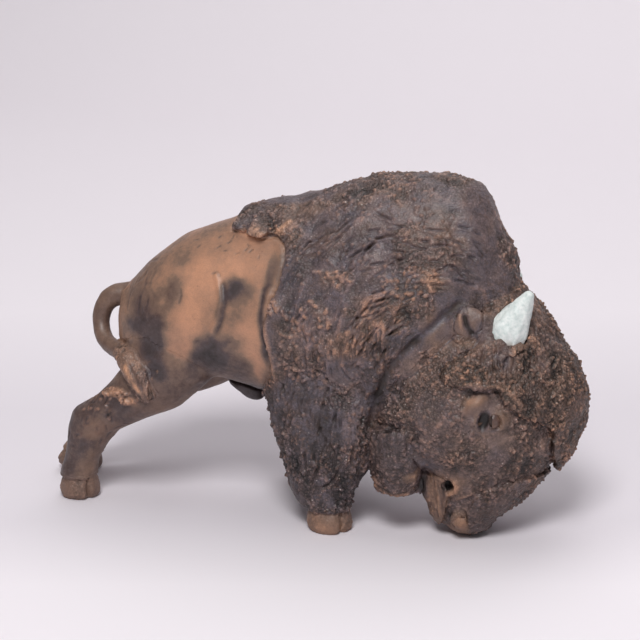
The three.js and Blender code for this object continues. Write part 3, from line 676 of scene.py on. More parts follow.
STROKES = (
    Strewn((44, -26, 150), (28, 30, 12), 34, (4, 12), 0.6, -0.95, 0.2),
    Strewn((50, -38, 116), (15, 20, 16), 60, (5, 13), 0.5, -0.75, 0.22),
    Strewn((6, -30, 146), (16, 30, 12), 16, (4, 9), 0.55, -0.7, 0.2),
    Strewn((86, -22, 146), (11, 26, 20), 26, (4, 9), 0.6, -0.9, 0.2),
    Strewn((14, -34, 60), (26, 30, 34), 60, (5, 13), 0.6, -0.9, 0.1),
    Strewn((30, -34, 104), (30, 24, 20), 30, (4, 9), 0.55, -0.8, 0.2),
    Strewn((118, -20, 106), (18, 26, 14), 30, (4, 9), 0.6, -0.8, 0.2, on_head=True),
    Strewn((104, -34, 101), (12, 16, 7), 20, (5, 10), 0.6, -0.7, 0.3, on_head=True),
    Strewn((-42, -24, 139), (26, 20, 8), 12, (0.8, 1.4), 0.45, -0.25, 0.0, 0.3, on_coat=False),
    Strewn((-84, -20, 116), (12, 20, 16), 16, (4, 9), 0.8, -0.25, 0.2, 0.15, on_coat=False),
    Strewn((-106, -36, 40), (20, 20, 22), 30, (2, 6), 0.6, -0.35, 0.2, 0.3, on_coat=False),
)


# Materials


class Graph:
    """The nodes of one new material."""

    def __init__(self, name: str) -> None:
        """Starts a material without nodes.

        Args:
            name: its name.
        """
        self.material = bpy.data.materials.new(name)
        self.material.use_nodes = True
        self.tree = self.material.node_tree
        self.tree.nodes.clear()

    def add(
        self, kind: str, inputs: list | tuple | dict = (), out: int | str = 0, **settings: object
    ) -> Socket | None:
        """Adds a node with its settings and links.

        Args:
            kind: node type without the ShaderNode prefix.
            inputs: values or other nodes' sockets, in order or by the name or number of the socket.
            out: name or number of the output socket that is wanted.
            settings: node properties.

        Returns:
            That output socket.
        """
        node = self.tree.nodes.new("ShaderNode" + kind)
        for key, value in settings.items():
            setattr(node, key, value)
        for key, value in inputs.items() if isinstance(inputs, dict) else enumerate(inputs):
            if isinstance(value, bpy.types.NodeSocket):
                self.tree.links.new(value, node.inputs[key])
            else:
                node.inputs[key].default_value = value
        return node.outputs[out] if len(node.outputs) else None

    def product(self, *factors: Socket | float | tuple) -> Socket:
        """Multiplies values.

        Args:
            factors: a number, a socket, or a socket with the range it is read in and, if not from
                0 to 1, the range it is moved to.

        Returns:
            Output socket of the product.
        """
        result = 1.0
        for factor in factors:
            value = self.add("MapRange", factor) if isinstance(factor, tuple) else factor
            result = self.add("Math", (result, value), operation="MULTIPLY")
        return result

    def surface(self, **inputs: object) -> bpy.types.Material:
        """Adds the surface shader and the output.

        Args:
            inputs: what goes into the shader, by socket name with _ for a space.

        Returns:
            The finished material.
        """
        shader = self.add("BsdfPrincipled", {key.replace("_", " "): value for key, value in inputs.items()})
        self.add("OutputMaterial", (shader,))
        return self.material


@dataclass(frozen=True)
class ClayFinish:
    """Grogged stoneware clay, smoked in the fire: matt, gritty, tan where bare and brown-black in smoke.

    It reads smoke with painted shade, wear, relief and calm from the mesh colour "clay", combing, grain and
    warmth from
    "work", and places along the strands of hair from "flow". Relief, grain valleys, combed troughs and pits
    set painted light and shade.

    Args:
        name: name of the material.
        bare: colour of the warm bare clay.
        ash: colour half way into the smoke.
        cool, warm: colours under full smoke.
        black: colour of the darkest smoke, and of the painted shade in deep holes.
        rust: colour of worn crumbs and edges.
        tip: colour of the tips of the grains.
        chip: colour of the few pale grains.
        rough_bare, rough_smoke: roughness of bare and smoked clay.
        grain_mm: size of the grains.
        grain_height_mm: height of the grains.
        sway_mm: size and reach of the unevenness in their shapes.
        strand_mm: width and length of the combed strands.
        strand_height_mm: height of the strands.
        fine_mm: height of the finest texture.
        pit_mm: depth of the small pits.
        speckle: strength of the small colour changes.
    """

    name: str
    bare: str = "BE8C6C"
    ash: str = "836858"
    cool: str = "59525A"
    warm: str = "604A41"
    black: str = "1A1515"
    rust: str = "9E7660"
    tip: str = "957E76"
    chip: str = "B9AFA6"
    rough_bare: float = 0.5
    rough_smoke: float = 0.58
    grain_mm: float = 1.25
    grain_height_mm: float = 0.45
    sway_mm: tuple = (1.1, 0.9)
    strand_mm: tuple = (0.9, 8.0)
    strand_height_mm: float = 0.8
    fine_mm: float = 0.08
    pit_mm: float = 0.15
    speckle: float = 0.2

    # Size in millimetres, detail and roughness of the noises that the clay is made of
    NOISES = {
        "fine": (0.6, 3.0, 0.6),
        "middle": (2.6, 4.0, 0.6),
        "broad": (11.0, 3.0, 0.55),
        "dots": (1.7, 3.0, 0.5),
        "pores": (0.9, 2.0, 0.4),
        "billows": (5.0, 3.0, 0.6),
    }

    def build(self) -> bpy.types.Material:
        """Returns the material."""
        g = Graph(self.name)
        add = g.add
        clay = add("Attribute", attribute_name="clay")
        soot, wear, relief = add("SeparateColor", (clay,)).node.outputs
        work = add("Attribute", attribute_name="work")
        comb, grain, warmth = add("SeparateColor", (work,)).node.outputs
        open_clay = add("Math", (1.0, clay.node.outputs["Alpha"]), operation="SUBTRACT")
        coarse = add("Math", (grain, open_clay), operation="MULTIPLY", use_clamp=True)
        where = add("TexCoord", out="Object")
        fine, middle, broad, dots, pores, billows = (
            add("TexNoise", {"Vector": where, "Scale": 1 / (size * MM), "Detail": detail, "Roughness": grit})
            for size, detail, grit in self.NOISES.values()
        )
        seed, number = self._grains(g, where)
        hair = self._hair(g)

        uneven = add("Math", [g.product((pattern, 0.3, 0.7, -0.14, 0.14)) for pattern in (middle, broad)])
        uneven = g.product(uneven, (soot, 0.2, 0.9, 0.45, 1.0))
        # This smoke also carries the painted shade of grooves, holes and corners
        smoke = add("Math", (soot, uneven))
        warmth = add("Math", (warmth, g.product((middle, 0.3, 0.7, -0.3, 0.3))), use_clamp=True)
        dark = {0: warmth, 6: linear(self.cool), 7: linear(self.warm)}
        dark = add("Mix", dark, 2, data_type="RGBA")
        combed = g.product(comb, (hair, 0.52, 0.72), (broad, 0.42, 0.62), 0.3)
        worn = add("Math", (g.product(wear, (middle, 0.35, 0.6, 0.45, 1.1)), combed), use_clamp=True)
        tips = g.product((number, 0.62, 0.8), (seed, 0.45, 0.2), (middle, 0.4, 0.62), coarse, 0.55)
        pits = g.product((pores, 0.33, 0.25), (broad, 0.4, 0.65))
        colour = linear(self.bare)
        for amount, paint in (
            (g.product((smoke, 0.0, 0.5)), linear(self.ash)),
            (g.product((smoke, 0.45, 0.95)), dark),
            (g.product((smoke, 0.95, 1.5)), linear(self.black)),
            (tips, linear(self.tip)),
            (worn, linear(self.rust)),
            (g.product((dots, 0.58, 0.66), (broad, 0.42, 0.6), coarse, 0.35), linear(self.rust)),
            (g.product((number, 0.955, 0.97), (seed, 0.34, 0.24), coarse, 0.7), linear(self.chip)),
        ):
            colour = add("Mix", {0: amount, 6: colour, 7: paint}, 2, data_type="RGBA")

        # Light and dark of the clay: random speckle and clouds, painted light on high relief, and painted
        # shade
        # in low relief, in the valleys between grains, in combed troughs and in pits
        shade = g.product((fine, 0.3, 0.7, 1 - self.speckle, 1 + self.speckle))
        shade = g.product(shade, (relief, 0.05, 0.9, 0.15, 1.65))
        for change in (
            g.product((billows, 0.32, 0.68, -0.28, 0.28), grain),
            g.product((seed, 0.35, 0.75), coarse, -0.65),
            g.product((hair, 0.48, 0.3), comb, -0.4),
            g.product(pits, -0.35),
        ):
            shade = g.product(shade, add("Math", (change, 1.0)))
        grey = add("CombineColor", (shade, shade, shade))
        colour = add("Mix", {0: 1.0, 6: colour, 7: grey}, 2, data_type="RGBA", blend_type="MULTIPLY")

        rough = g.product((soot, 0.0, 1.0, self.rough_bare, self.rough_smoke))
        rough = add("Math", (rough, g.product((middle, 0.3, 0.7, -0.07, 0.09))))
        height = g.product((seed, 0.75, 0.1), coarse, self.grain_height_mm * MM)
        for part in (
            g.product(fine, self.fine_mm * MM),
            g.product(hair, comb, self.strand_height_mm * MM),
            g.product(pits, -self.pit_mm * MM),
        ):
            height = add("Math", (height, part))
        bump = add("Bump", {"Height": height, "Strength": 1.0, "Distance": 1.0})
        return g.surface(Base_Color=colour, Roughness=rough, Normal=bump, IOR=1.5)

    def _grains(self, g: Graph, where: Socket) -> tuple:
        """Adds the pattern of the grog grains.

        Args:
            g: the material's nodes.
            where: the place on the piece.

        Returns:
            Distance to the nearest grain in grain sizes, and that grain's random number.
        """
        sway = {"Vector": where, "Scale": 1 / (self.sway_mm[0] * MM), "Detail": 1.0}
        sway = g.add("TexNoise", sway, "Color")
        sway = g.add("VectorMath", {0: sway, "Scale": self.sway_mm[1] * MM}, operation="SCALE")
        moved = g.add("VectorMath", (where, sway), operation="ADD")
        seed = g.add("TexVoronoi", {"Vector": moved, "Scale": 1 / (self.grain_mm * MM)})
        return seed, g.add("SeparateColor", (seed.node.outputs["Color"],))

    def _hair(self, g: Graph) -> Socket:
        """Adds noise drawn out along the strands of hair.

        Args:
            g: the material's nodes.

        Returns:
            Its output socket.
        """
        width, length = self.strand_mm
        stretch = (1 / (width * MM), 1 / (length * MM), 1 / (width * 2 * MM))
        flow = g.add("Attribute", out="Vector", attribute_name="flow")
        flow = g.add("VectorMath", (flow, stretch), operation="MULTIPLY")
        return g.add("TexNoise", {"Vector": flow, "Scale": 1.0, "Detail": 2.0, "Roughness": 0.55})


@dataclass(frozen=True)
class GlazeFinish:
    """A thin pale stoneware glaze: satin, streaked, with bare clay where it ran thin.

    Args:
        name: name of the material.
        colour: colour where it is thick.
        shade: colour where it is thin.
        bare: colour of the clay under it.
        roughness: its middle roughness.
        streak_mm, fine_mm: sizes of the streaks and of the fine bumps.
        height_mm: height of the fine bumps.
    """

    name: str = "pale_glaze"
    colour: str = "E8ECE9"
    shade: str = "C3CFCC"
    bare: str = "8A6A55"
    roughness: float = 0.4
    streak_mm: float = 2.2
    fine_mm: float = 0.8
    height_mm: float = 0.12

    def build(self) -> bpy.types.Material:
        """Returns the material."""
        g = Graph(self.name)
        worn = g.add("SeparateColor", (g.add("Attribute", attribute_name="clay"),), "Green")
        where = g.add("TexCoord", out="Object")
        streaks = {"Vector": where, "Scale": 1 / (self.streak_mm * MM), "Detail": 4.0, "Roughness": 0.6}
        streaks = g.add("TexNoise", streaks)
        fine = {"Vector": where, "Scale": 1 / (self.fine_mm * MM), "Detail": 2.0, "Roughness": 0.5}
        fine = g.add("TexNoise", fine)
        colour = linear(self.colour)
        for amount, paint in ((g.product((streaks, 0.35, 0.7)), self.shade), (worn, self.bare)):
            colour = g.add("Mix", {0: amount, 6: colour, 7: linear(paint)}, 2, data_type="RGBA")
        bump = g.add("Bump", {"Height": g.product(fine, self.height_mm * MM), "Distance": 1.0})
        rough = g.product((streaks, 0.3, 0.7, self.roughness - 0.05, self.roughness + 0.15))
        return g.surface(Base_Color=colour, Roughness=rough, Normal=bump, IOR=1.5)


@dataclass(frozen=True)
class FloorFinish:
    """Matt pale studio paper, greyer in a broad band where the figurine stands: a painted shadow.

    Args:
        name: name of the material.
        colour: colour of the paper.
        shade: its colour inside the band, the painted shadow.
        across: direction across the band, in the floor's plane.
        front: where the band starts and is full, in metres.
        back: where it ends and is full, in metres.
    """

    name: str = "studio_floor"
    colour: str = "EFE9EE"
    shade: str = "E0DAE0"
    across: tuple = (-0.309, 0.951, 0.0)
    front: tuple = (-0.11, -0.03)
    back: tuple = (0.34, 0.14)

    def build(self) -> bpy.types.Material:
        """Returns the material."""
        g = Graph(self.name)
        where = g.add("TexCoord", out="Object")
        depth = g.add("VectorMath", (where, self.across), "Value", operation="DOT_PRODUCT")
        # Painted shadow: the paper greys across the band round the figurine
        band = g.product((depth, *self.front), (depth, *self.back))
        colour = {0: band, 6: linear(self.colour), 7: linear(self.shade)}
        colour = g.add("Mix", colour, 2, data_type="RGBA")
        return g.surface(Base_Color=colour, Roughness=0.9)


# Clay


class HeadFrame:
    """The head's own frame, in which it is symmetric: +X out of the forehead, nose along -Z."""

    ORIGIN = np.array([87.04, -3.43, 92.0])
    TURN = math.radians(18)
    TILT = math.radians(-7)
    MATRIX = np.array((Matrix.Rotation(TURN, 3, "Z") @ Matrix.Rotation(TILT, 3, "X")))

    @classmethod
    def inward(cls, points: np.ndarray) -> np.ndarray:
        """Points in the head's frame."""
        return (points - cls.ORIGIN) @ cls.MATRIX

    @classmethod
    def outward(cls, points: np.ndarray) -> np.ndarray:
        """Points of the head's frame in the model's frame."""
        return points @ cls.MATRIX.T + cls.ORIGIN


# Middle plane of the body in millimetres
MIDDLE_Y = 0.3
# What the last channel of "work" says on the skin, and not on a cut
SKIN_MARK = 0.5
# Edges sharper than this angle in degrees are drawn sharp
SHARP_ANGLE = 58


def places(path: tuple, where: Where, on_head: bool) -> list:
    """The paths of a detail on the sides that carry it.

    Args:
        path: points on the right side.
        where: the sides.
        on_head: whether the left one mirrors about the head's own middle.

    Returns:
        One array of points for each side.
    """
    right = np.array(path, float).reshape(-1, 3)
    left = right.copy()
    if on_head:
        left = HeadFrame.inward(left)
        left[:, 1] *= -1
        left = HeadFrame.outward(left)
    else:
        left[:, 1] = 2 * MIDDLE_Y - left[:, 1]
    return {Where.RIGHT: [right], Where.LEFT: [left], Where.BOTH: [right, left]}[where]


def gap_to_path(points: np.ndarray, path: np.ndarray) -> np.ndarray:
    """Distance from points to a line of straight steps.

    Args:
        points: N x 3 places.
        path: places along the line.

    Returns:
        N distances.
    """
    best = np.full(len(points), np.inf)
    for a, b in zip(path[:-1], path[1:]):
        along = b - a
        t = np.clip(((points - a) @ along) / (along @ along), 0, 1)
        best = np.minimum(best, np.linalg.norm(points - a - t[:, None] * along, axis=1))
    return best


def search_tree(points: np.ndarray) -> KDTree:
    """Puts points into a tree that finds the nearest of them.

    Args:
        points: N x 3 places.

    Returns:
        The tree.
    """
    tree = KDTree(len(points))
    for index, point in enumerate(points.tolist()):
        tree.insert(point, index)
    tree.balance()
    return tree


def longest_key(name: str, table: dict) -> str:
    """The longest key of a table that a name starts with, or nothing."""
    return max((key for key in table if name.startswith(key)), key=len, default="")


def merged(node: bpy.types.Object, swell: float) -> bmesh.types.BMesh:
    """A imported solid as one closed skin, grown outwards.

    Args:
        node: its object.
        swell: how far it grows, in millimetres.

    Returns:
        A new bmesh.
    """
    part = bmesh.new()
    part.from_mesh(node.data)
    bmesh.ops.remove_doubles(part, verts=part.verts, dist=1e-6)
    part.normal_update()
    for vertex in part.verts:
        vertex.co += vertex.normal * swell * MM
    return part


def to_object(work: bmesh.types.BMesh, name: str) -> bpy.types.Object:
    """Turns a bmesh into an object of the scene.

    Args:
        work: the bmesh, which is freed.
        name: name of the object and its mesh.

    Returns:
        The object.
    """
    mesh = bpy.data.meshes.new(name)
    work.to_mesh(mesh)
    work.free()
    thing = bpy.data.objects.new(name, mesh)
    bpy.context.scene.collection.objects.link(thing)
    return thing


@dataclass
class ClayMass:
    """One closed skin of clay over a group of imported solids.

    Args:
        name: name of the skin.
        nodes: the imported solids' objects by name.
        voxel: distance between the skin's points, in millimetres.
        plugs: rounds that close holes deep inside, as (x, y, z, radius, height).
        fillers: lumps of clay smeared into corners.
        swell: how far each solid is grown first, so that the seams between them close.
        points: the skin's points in millimetres.
        normals: directions out of the skin at its points.
    """

    name: str
    nodes: dict
    voxel: float
    plugs: tuple = ()
    fillers: tuple = ()
    swell: float = 0.22
    points: np.ndarray = field(default=None, repr=False)
    normals: np.ndarray = field(default=None, repr=False)

    # How far, in millimetres, the borders between solids stay light in the smoothing, how far the
    # softening of a solid spreads and how wide the rims along the borders are
    BORDER_REACH = 9
    SOFTEN_REACH = 24
    RIM_REACH = 2.5
    # Rounds of averaging for a value that changes from solid to solid
    ROUNDS = 5

    def grow(self) -> None:
        """Makes the skin and reads its points and edges."""
        joined = bmesh.new()
        for node in self.nodes.values():
            part = to_object(merged(node, self.swell), "part")
            joined.from_mesh(part.data)
            bpy.data.meshes.remove(part.data)
        for filler in self.fillers:
            for middle in places((filler.at,), filler.where, filler.on_head):
                turn = Matrix(HeadFrame.MATRIX.tolist()).to_4x4() if filler.on_head else Matrix.Identity(4)
                shape = Matrix.Diagonal((*(v * MM for v in filler.size), 1.0))
                place = Matrix.Translation(Vector(middle[0]) * MM) @ turn @ shape
                bmesh.ops.create_icosphere(joined, subdivisions=3, radius=1.0, matrix=place)
        for x, y, z, radius, height in self.plugs:
            bmesh.ops.create_cone(
                joined,
                cap_ends=True,
                segments=24,
                radius1=radius * MM,
                radius2=radius * MM,
                depth=height * MM,
                matrix=Matrix.Translation(Vector((x, y, z)) * MM),
            )
        self.object = to_object(joined, self.name)
        remesh = self.object.modifiers.new("skin", "REMESH")
        remesh.mode = "VOXEL"
        remesh.voxel_size = self.voxel * MM
        self._apply()
        mesh = self.object.data
        count = len(mesh.vertices)
        self.points = np.empty(count * 3)
        mesh.vertices.foreach_get("co", self.points)
        self.points = self.points.reshape(-1, 3) / MM
        self.edges = np.empty(len(mesh.edges) * 2, np.int64)
        mesh.edges.foreach_get("vertices", self.edges)
        self.edges = self.edges.reshape(-1, 2)
        self.degree = np.bincount(self.edges.ravel(), minlength=count).astype(float)
        log.info("%s: %d points", self.name, count)

    def _apply(self) -> None:
        """Replaces the object's mesh by its evaluated one."""
        graph = bpy.context.evaluated_depsgraph_get()
        mesh = bpy.data.meshes.new_from_object(self.object.evaluated_get(graph))
        old = self.object.data
        self.object.modifiers.clear()
        self.object.data = mesh
        bpy.data.meshes.remove(old)

    def write(self) -> None:
        """Writes the points back to the mesh."""
        self.object.data.vertices.foreach_set("co", (self.points * MM).astype(np.float32).ravel())
        self.object.data.update()

    def read_normals(self) -> None:
        """Reads the point normals of the mesh as it is."""
        self.write()
        values = np.empty(len(self.points) * 3, np.float32)
        self.object.data.vertex_normals.foreach_get("vector", values)
        self.normals = values.reshape(-1, 3).astype(float)

    def relax(self, field_values: np.ndarray, times: int) -> np.ndarray:
        """Averages values over neighbouring points.

        Args:
            field_values: N or N x K values.
            times: number of rounds.

        Returns:
            The averaged values.
        """
        flat = field_values.reshape(len(field_values), -1).astype(float)
        a, b = self.edges[:, 0], self.edges[:, 1]
        for _ in range(times):
            for k in range(flat.shape[1]):
                column = flat[:, k]
                near = np.bincount(a, column[b], len(column)) + np.bincount(b, column[a], len(column))
                flat[:, k] = 0.5 * column + 0.5 * near / self.degree
        return flat.reshape(field_values.shape)

    def _smoothed(self, values: np.ndarray, times: int) -> np.ndarray:
        """Averages places over neighbouring points with a smooth modifier.

        Args:
            values: N x 3 values.
            times: number of rounds.

        Returns:
            The averaged values.
        """
        mesh = self.object.data
        mesh.vertices.foreach_set("co", (values * MM).astype(np.float32).ravel())
        mesh.update()
        smooth = self.object.modifiers.new("smooth", "SMOOTH")
        smooth.factor = 0.5
        smooth.iterations = times
        graph = bpy.context.evaluated_depsgraph_get()
        shaped = self.object.evaluated_get(graph).to_mesh()
        out = np.empty(len(values) * 3)
        shaped.vertices.foreach_get("co", out)
        self.object.modifiers.clear()
        return out.reshape(-1, 3) / MM

    def label(self, groups: tuple) -> None:
        """Finds the solid that each point belongs to.

        Args:
            groups: families of names whose borders are smeared.
        """
        names = list(self.nodes)
        corners, faces, owner = [], [], []
        for index, node in enumerate(self.nodes.values()):
            first = len(corners)
            corners += [v.co[:] for v in node.data.vertices]
            faces += [[first + i for i in p.vertices] for p in node.data.polygons]
            owner += [index] * len(node.data.polygons)
        tree = BVHTree.FromPolygons(corners, faces)
        found = [tree.find_nearest(p)[2] for p in (self.points * MM).tolist()]
        self.names = names
        self.owner = np.array(owner)[np.array(found)]
        family = np.arange(len(names))
        for index, name in enumerate(names):
            for number, group in enumerate(groups):
                if name.startswith(group):
                    family[index] = len(names) + number
        self.family = family[self.owner]

    def even_out(self, reach: tuple) -> None:
        """Takes the flat facets away and keeps the steps between families of solids.

        Args:
            reach: how far each of the three levels of smoothing reaches, in millimetres.
        """
        crossing = self.family[self.edges[:, 0]] != self.family[self.edges[:, 1]]
        border = np.zeros(len(self.points))
        border[np.unique(self.edges[crossing])] = 1
        near = self.relax(border, max(4, round(self.BORDER_REACH / self.voxel)))
        near = np.clip(near * 9, 0, 1)
        soften = np.clip(self.skin_values("soften"), 0, 1)
        if soften.max() > 0:
            soften = self.relax(soften, round(self.SOFTEN_REACH / self.voxel))
        strong = ramp(soften, 0.5, 1.0) * (1 - near)
        shares = (near, 1 - strong - near, strong)
        levels = []
        for size in reach:
            times = max(2, round((size / self.voxel) ** 2 * 4))
            soft = self._smoothed(self.points, times)
            levels.append(soft + self._smoothed(self.points - soft, times))
        self.points = sum(level * share[:, None] for level, share in zip(levels, shares))
        self.border = self.relax(border, max(3, round(self.RIM_REACH / self.voxel)))
        self.border /= max(self.border.max(), 1e-6)
        self.read_normals()

    def skin_values(self, key: str) -> np.ndarray:
        """One value of the solids' skins at each point, soft across borders."""
        values = np.array([getattr(SKINS.get(longest_key(name, SKINS), Skin()), key) for name in self.names])
        return self.relax(values[self.owner], self.ROUNDS)

    def member(self, *starts: str) -> np.ndarray:
        """1 where a point belongs to a solid whose name starts so, with soft borders."""
        inside = np.array([name.startswith(starts) for name in self.names], float)
        return self.relax(inside[self.owner], self.ROUNDS)


class BisonClay(ClayMass):
    """The animal's clay with everything that is worked into it."""

    # The place round which the hair of the coat is combed, in millimetres
    COMB_MIDDLE = np.array([78.0, 0.0, 95.0])
    # Distance from there, in millimetres, at which the strands are as long as the finish says
    COMB_RADIUS = 70
    # Heights below which the strokes and the strands hang straight down
    STROKES_HANG_Z = 66
    STRANDS_HANG_Z = 62
    # Solids of coarse clay
    COARSE = ("mane_coat", "fore_leg", "saddle_patch", "head", "forelock", "nose_bridge", "lower_jaw")

    def sculpt(self) -> None:
        """Works strokes, crumbs, lines and spots into the skin."""
        p = self.points
        self.tree = search_tree(p)
        self.random = np.random.default_rng(Seed.STREWN)
        keys = ("grain", "comb", "lump", "soot", "wear", "warm")
        self.grain, self.comb, lump, self.soot, self.wear, self.warm = (self.skin_values(k) for k in keys)
        self.soot += 0.16 * fractal(p, 20, Seed.SMOKE) * (self.soot < 0.7)
        self.height = fractal(p, 13, Seed.LUMPS) * lump
        self.calm, self.bare = np.zeros(len(p)), np.zeros(len(p))
        sway = drift(p, 12, Seed.SPOT_EDGES, 3)
        for spot in SPOTS:
            for middle in places((spot.at,), spot.where, spot.on_head):
                self._spot(p + sway * min(spot.size) * 0.75, spot, middle[0])
        self.coat = self.member(*self.COARSE)
        self._rims()
        texture = self._texture(p)
        for strewn in STROKES:
            self._strew(strewn, self._stroke)
        for strewn in CRUMBS:
            self._strew(strewn, self._crumb)
        for line in LINES:
            for path in places(line.path, line.where, line.on_head):
                amount = np.exp(-((gap_to_path(p + sway * 0.5, path) / line.width) ** 2))
                # Along a groove this darkening is painted shade
                self.soot += amount * line.soot
                bare = amount * line.wear * (0.35 + 0.5 * ramp(sway[:, 0], -0.3, 0.3))
                self.bare = np.maximum(self.bare, bare)
                self.height += amount * line.height
                self.calm = np.maximum(self.calm, amount * (1.0 if line.height < 0 else 0.3))
        self.height += texture * (1 - self.calm)
        ragged = self.border * np.clip(self.grain * 1.5, 0, 1)
        loose = drift(p, 4.2, Seed.LOOSE_EDGES, 2)
        self.points = p + self.normals * self.height[:, None] + loose * (ragged * 1.2)[:, None]
        self._finish(texture)

    def _spot(self, p: np.ndarray, spot: Spot, middle: np.ndarray) -> None:
        """Lays one spot on the skin.

        Args:
            p: places of the points, moved so that the edge comes out ragged.
            spot: the spot.
            middle: its middle on this side.
        """
        d = p - middle
        turn = math.radians(spot.tilt)
        x = d[:, 0] * math.cos(turn) + d[:, 2] * math.sin(turn)
        z = -d[:, 0] * math.sin(turn) + d[:, 2] * math.cos(turn)
        reach = np.sqrt((x / spot.size[0]) ** 2 + (d[:, 1] / spot.size[1]) ** 2 + (z / spot.size[2]) ** 2)
        amount = ramp(-reach, -1 - spot.edge / 2, -1 + spot.edge)
        cover = amount * spot.cover
        self.soot += (spot.soot - self.soot) * cover
        self.wear += (spot.wear - self.wear) * cover
        self.warm += (spot.warm - self.warm) * cover
        self.comb += amount * spot.comb
        self.calm = np.maximum(self.calm, amount * spot.calm)
        self.height += amount * spot.height

    def _rims(self) -> None:
        """Warm rims on the edges of the coat and the forelock, with painted shade in the corner below them.
        """
        over = self.member("mane_coat", "forelock", "saddle_patch")
        edge = np.clip(self.border * 1.5, 0, 1)
        broken = ramp(fractal(self.points, 7, Seed.BROKEN_RIMS, 2), -0.35, 0.2)
        self.wear = np.maximum(self.wear, edge * ramp(over, 0.45, 0.9) * broken * 0.85)
        # Painted shade: a dark line just below the edge of the coat, where its shadow falls
        self.soot += edge * ramp(over, 0.55, 0.2) * 0.5 * ramp(over, 0.0, 0.2)

    def _around(self, middle: np.ndarray, reach: float) -> np.ndarray:
        """Indices of the points within a distance."""
        return np.array([found[1] for found in self.tree.find_range(middle.tolist(), reach)], dtype=int)

    def _strew(self, strewn: Strewn, lay: Callable) -> None:
        """Strews crumbs or strokes over one area of each side.

        Args:
            strewn: what is strewn, and where.
            lay: lays one of them, from a starting point with a length.
        """
        for middle in places((strewn.at,), strewn.where, strewn.on_head):
            reach = (self.points - middle[0]) / np.array(strewn.size)
            fits = self.coat > 0.8 if strewn.on_coat else self.coat < 0.2
            inside = np.flatnonzero(((reach**2).sum(axis=1) < 1) & fits)
            if not len(inside):
                continue
            for start in self.random.choice(inside, strewn.count):
                lay(start, strewn, self.random.uniform(*strewn.length))

    def _crumb(self, start: int, strewn: Strewn, length: float) -> None:
        """Presses one flat crumb of clay on.

        Args:
            start: number of the skin's point under it.
            strewn: its kind.
            length: its length in millimetres.
        """
        near = self._around(self.points[start], length)
        d = self.points[near] - self.points[start]
        n = self.normals[start]
        t = np.cross(n, self.random.normal(size=3))
        t /= np.linalg.norm(t)
        u, v = d @ t / (length / 2), d @ np.cross(n, t) / strewn.width
        reach = np.sqrt(u * u + v * v) + noise(self.points[near], 1.3, Seed.CRUMB_EDGES) * 0.4
        amount = ramp(-reach, -1.15, -0.65)
        self.height[near] += amount * strewn.height * self.random.uniform(0.6, 1.1)
        self.bare[near] = np.maximum(self.bare[near], amount * strewn.wear * self.random.uniform(0.2, 0.9))
        self.calm[near] = np.maximum(self.calm[near], amount * 0.6)

    def _stroke(self, start: int, strewn: Strewn, length: float) -> None:
        """Draws one stroke of the comb along the hair.

        Args:
            start: number of the skin's point where it starts.
            strewn: its kind.
            length: its length in millimetres.
        """
        path = [self.points[start]]
        turn = self.random.normal() * (0.22 if strewn.on_coat else 0.9)
        bend = self.random.normal() * 0.05
        for k in range(max(2, round(length / 1.2))):
            index = self.tree.find(path[-1].tolist())[1]
            step = self._along(index, turn + bend * k)
            path.append(self.points[self.tree.find((path[-1] + step * 1.4).tolist())[1]])
        path = np.array(path)
        near = np.unique(np.concatenate([self._around(q, strewn.width * 4.5) for q in path[::2]]))
        gap = gap_to_path(self.points[near], path)
        ends = np.minimum(*(np.linalg.norm(self.points[near] - path[end], axis=1) for end in (0, -1)))
        taper = ramp(ends, 0.0, min(3.0, length / 3))
        deep = strewn.height * self.random.uniform(0.6, 1.2)
        groove = np.exp(-((gap / strewn.width) ** 2)) * taper
        lip = np.exp(-(((gap - strewn.width * 2.1) / strewn.width) ** 2)) * taper
        self.height[near] += groove * deep - lip * deep * 0.5
        self.wear[near] += lip * strewn.wear * 0.6
        # Painted shade in the stroke's groove
        self.soot[near] += groove * strewn.soot
        self.calm[near] = np.maximum(self.calm[near], groove * 0.9)

    def _along(self, index: int, turn: float) -> np.ndarray:
        """Direction of the hair on the skin.

        Args:
            index: number of the skin's point.
            turn: turn about the normal in radians.

        Returns:
            A direction of length 1.
        """
        d = self.points[index] - self.COMB_MIDDLE
        if self._head[index] > 0.5 or self._leg[index] > 0.5 or self.points[index][2] < self.STROKES_HANG_Z:
            way = np.array([-0.15, 0.0, -1.0])
        else:
            way = np.array([-d[2], 0.0, d[0]])
        n = self.normals[index]
        way = way - n * (way @ n)
        way /= max(np.linalg.norm(way), 1e-6)
        return way * math.cos(turn) + np.cross(n, way) * math.sin(turn)

    def _combed(self, p: np.ndarray) -> np.ndarray:
        """Straightens the hair.

        Args:
            p: N x 3 places.

        Returns:
            N x 3 coordinates in which the hair runs along the second axis.
        """
        d = p - self.COMB_MIDDLE
        turn = np.arctan2(d[:, 0], d[:, 2]) * self.COMB_RADIUS
        body = np.stack([np.hypot(d[:, 0], d[:, 2]), turn, p[:, 1]], axis=1)
        head = HeadFrame.inward(p)[:, [0, 2, 1]]
        leg = p[:, [0, 2, 1]]
        out = np.where((self._leg[:, None] > 0.5) | (p[:, 2:3] < self.STRANDS_HANG_Z), leg, body)
        return np.where(self._head[:, None] > 0.5, head, out)

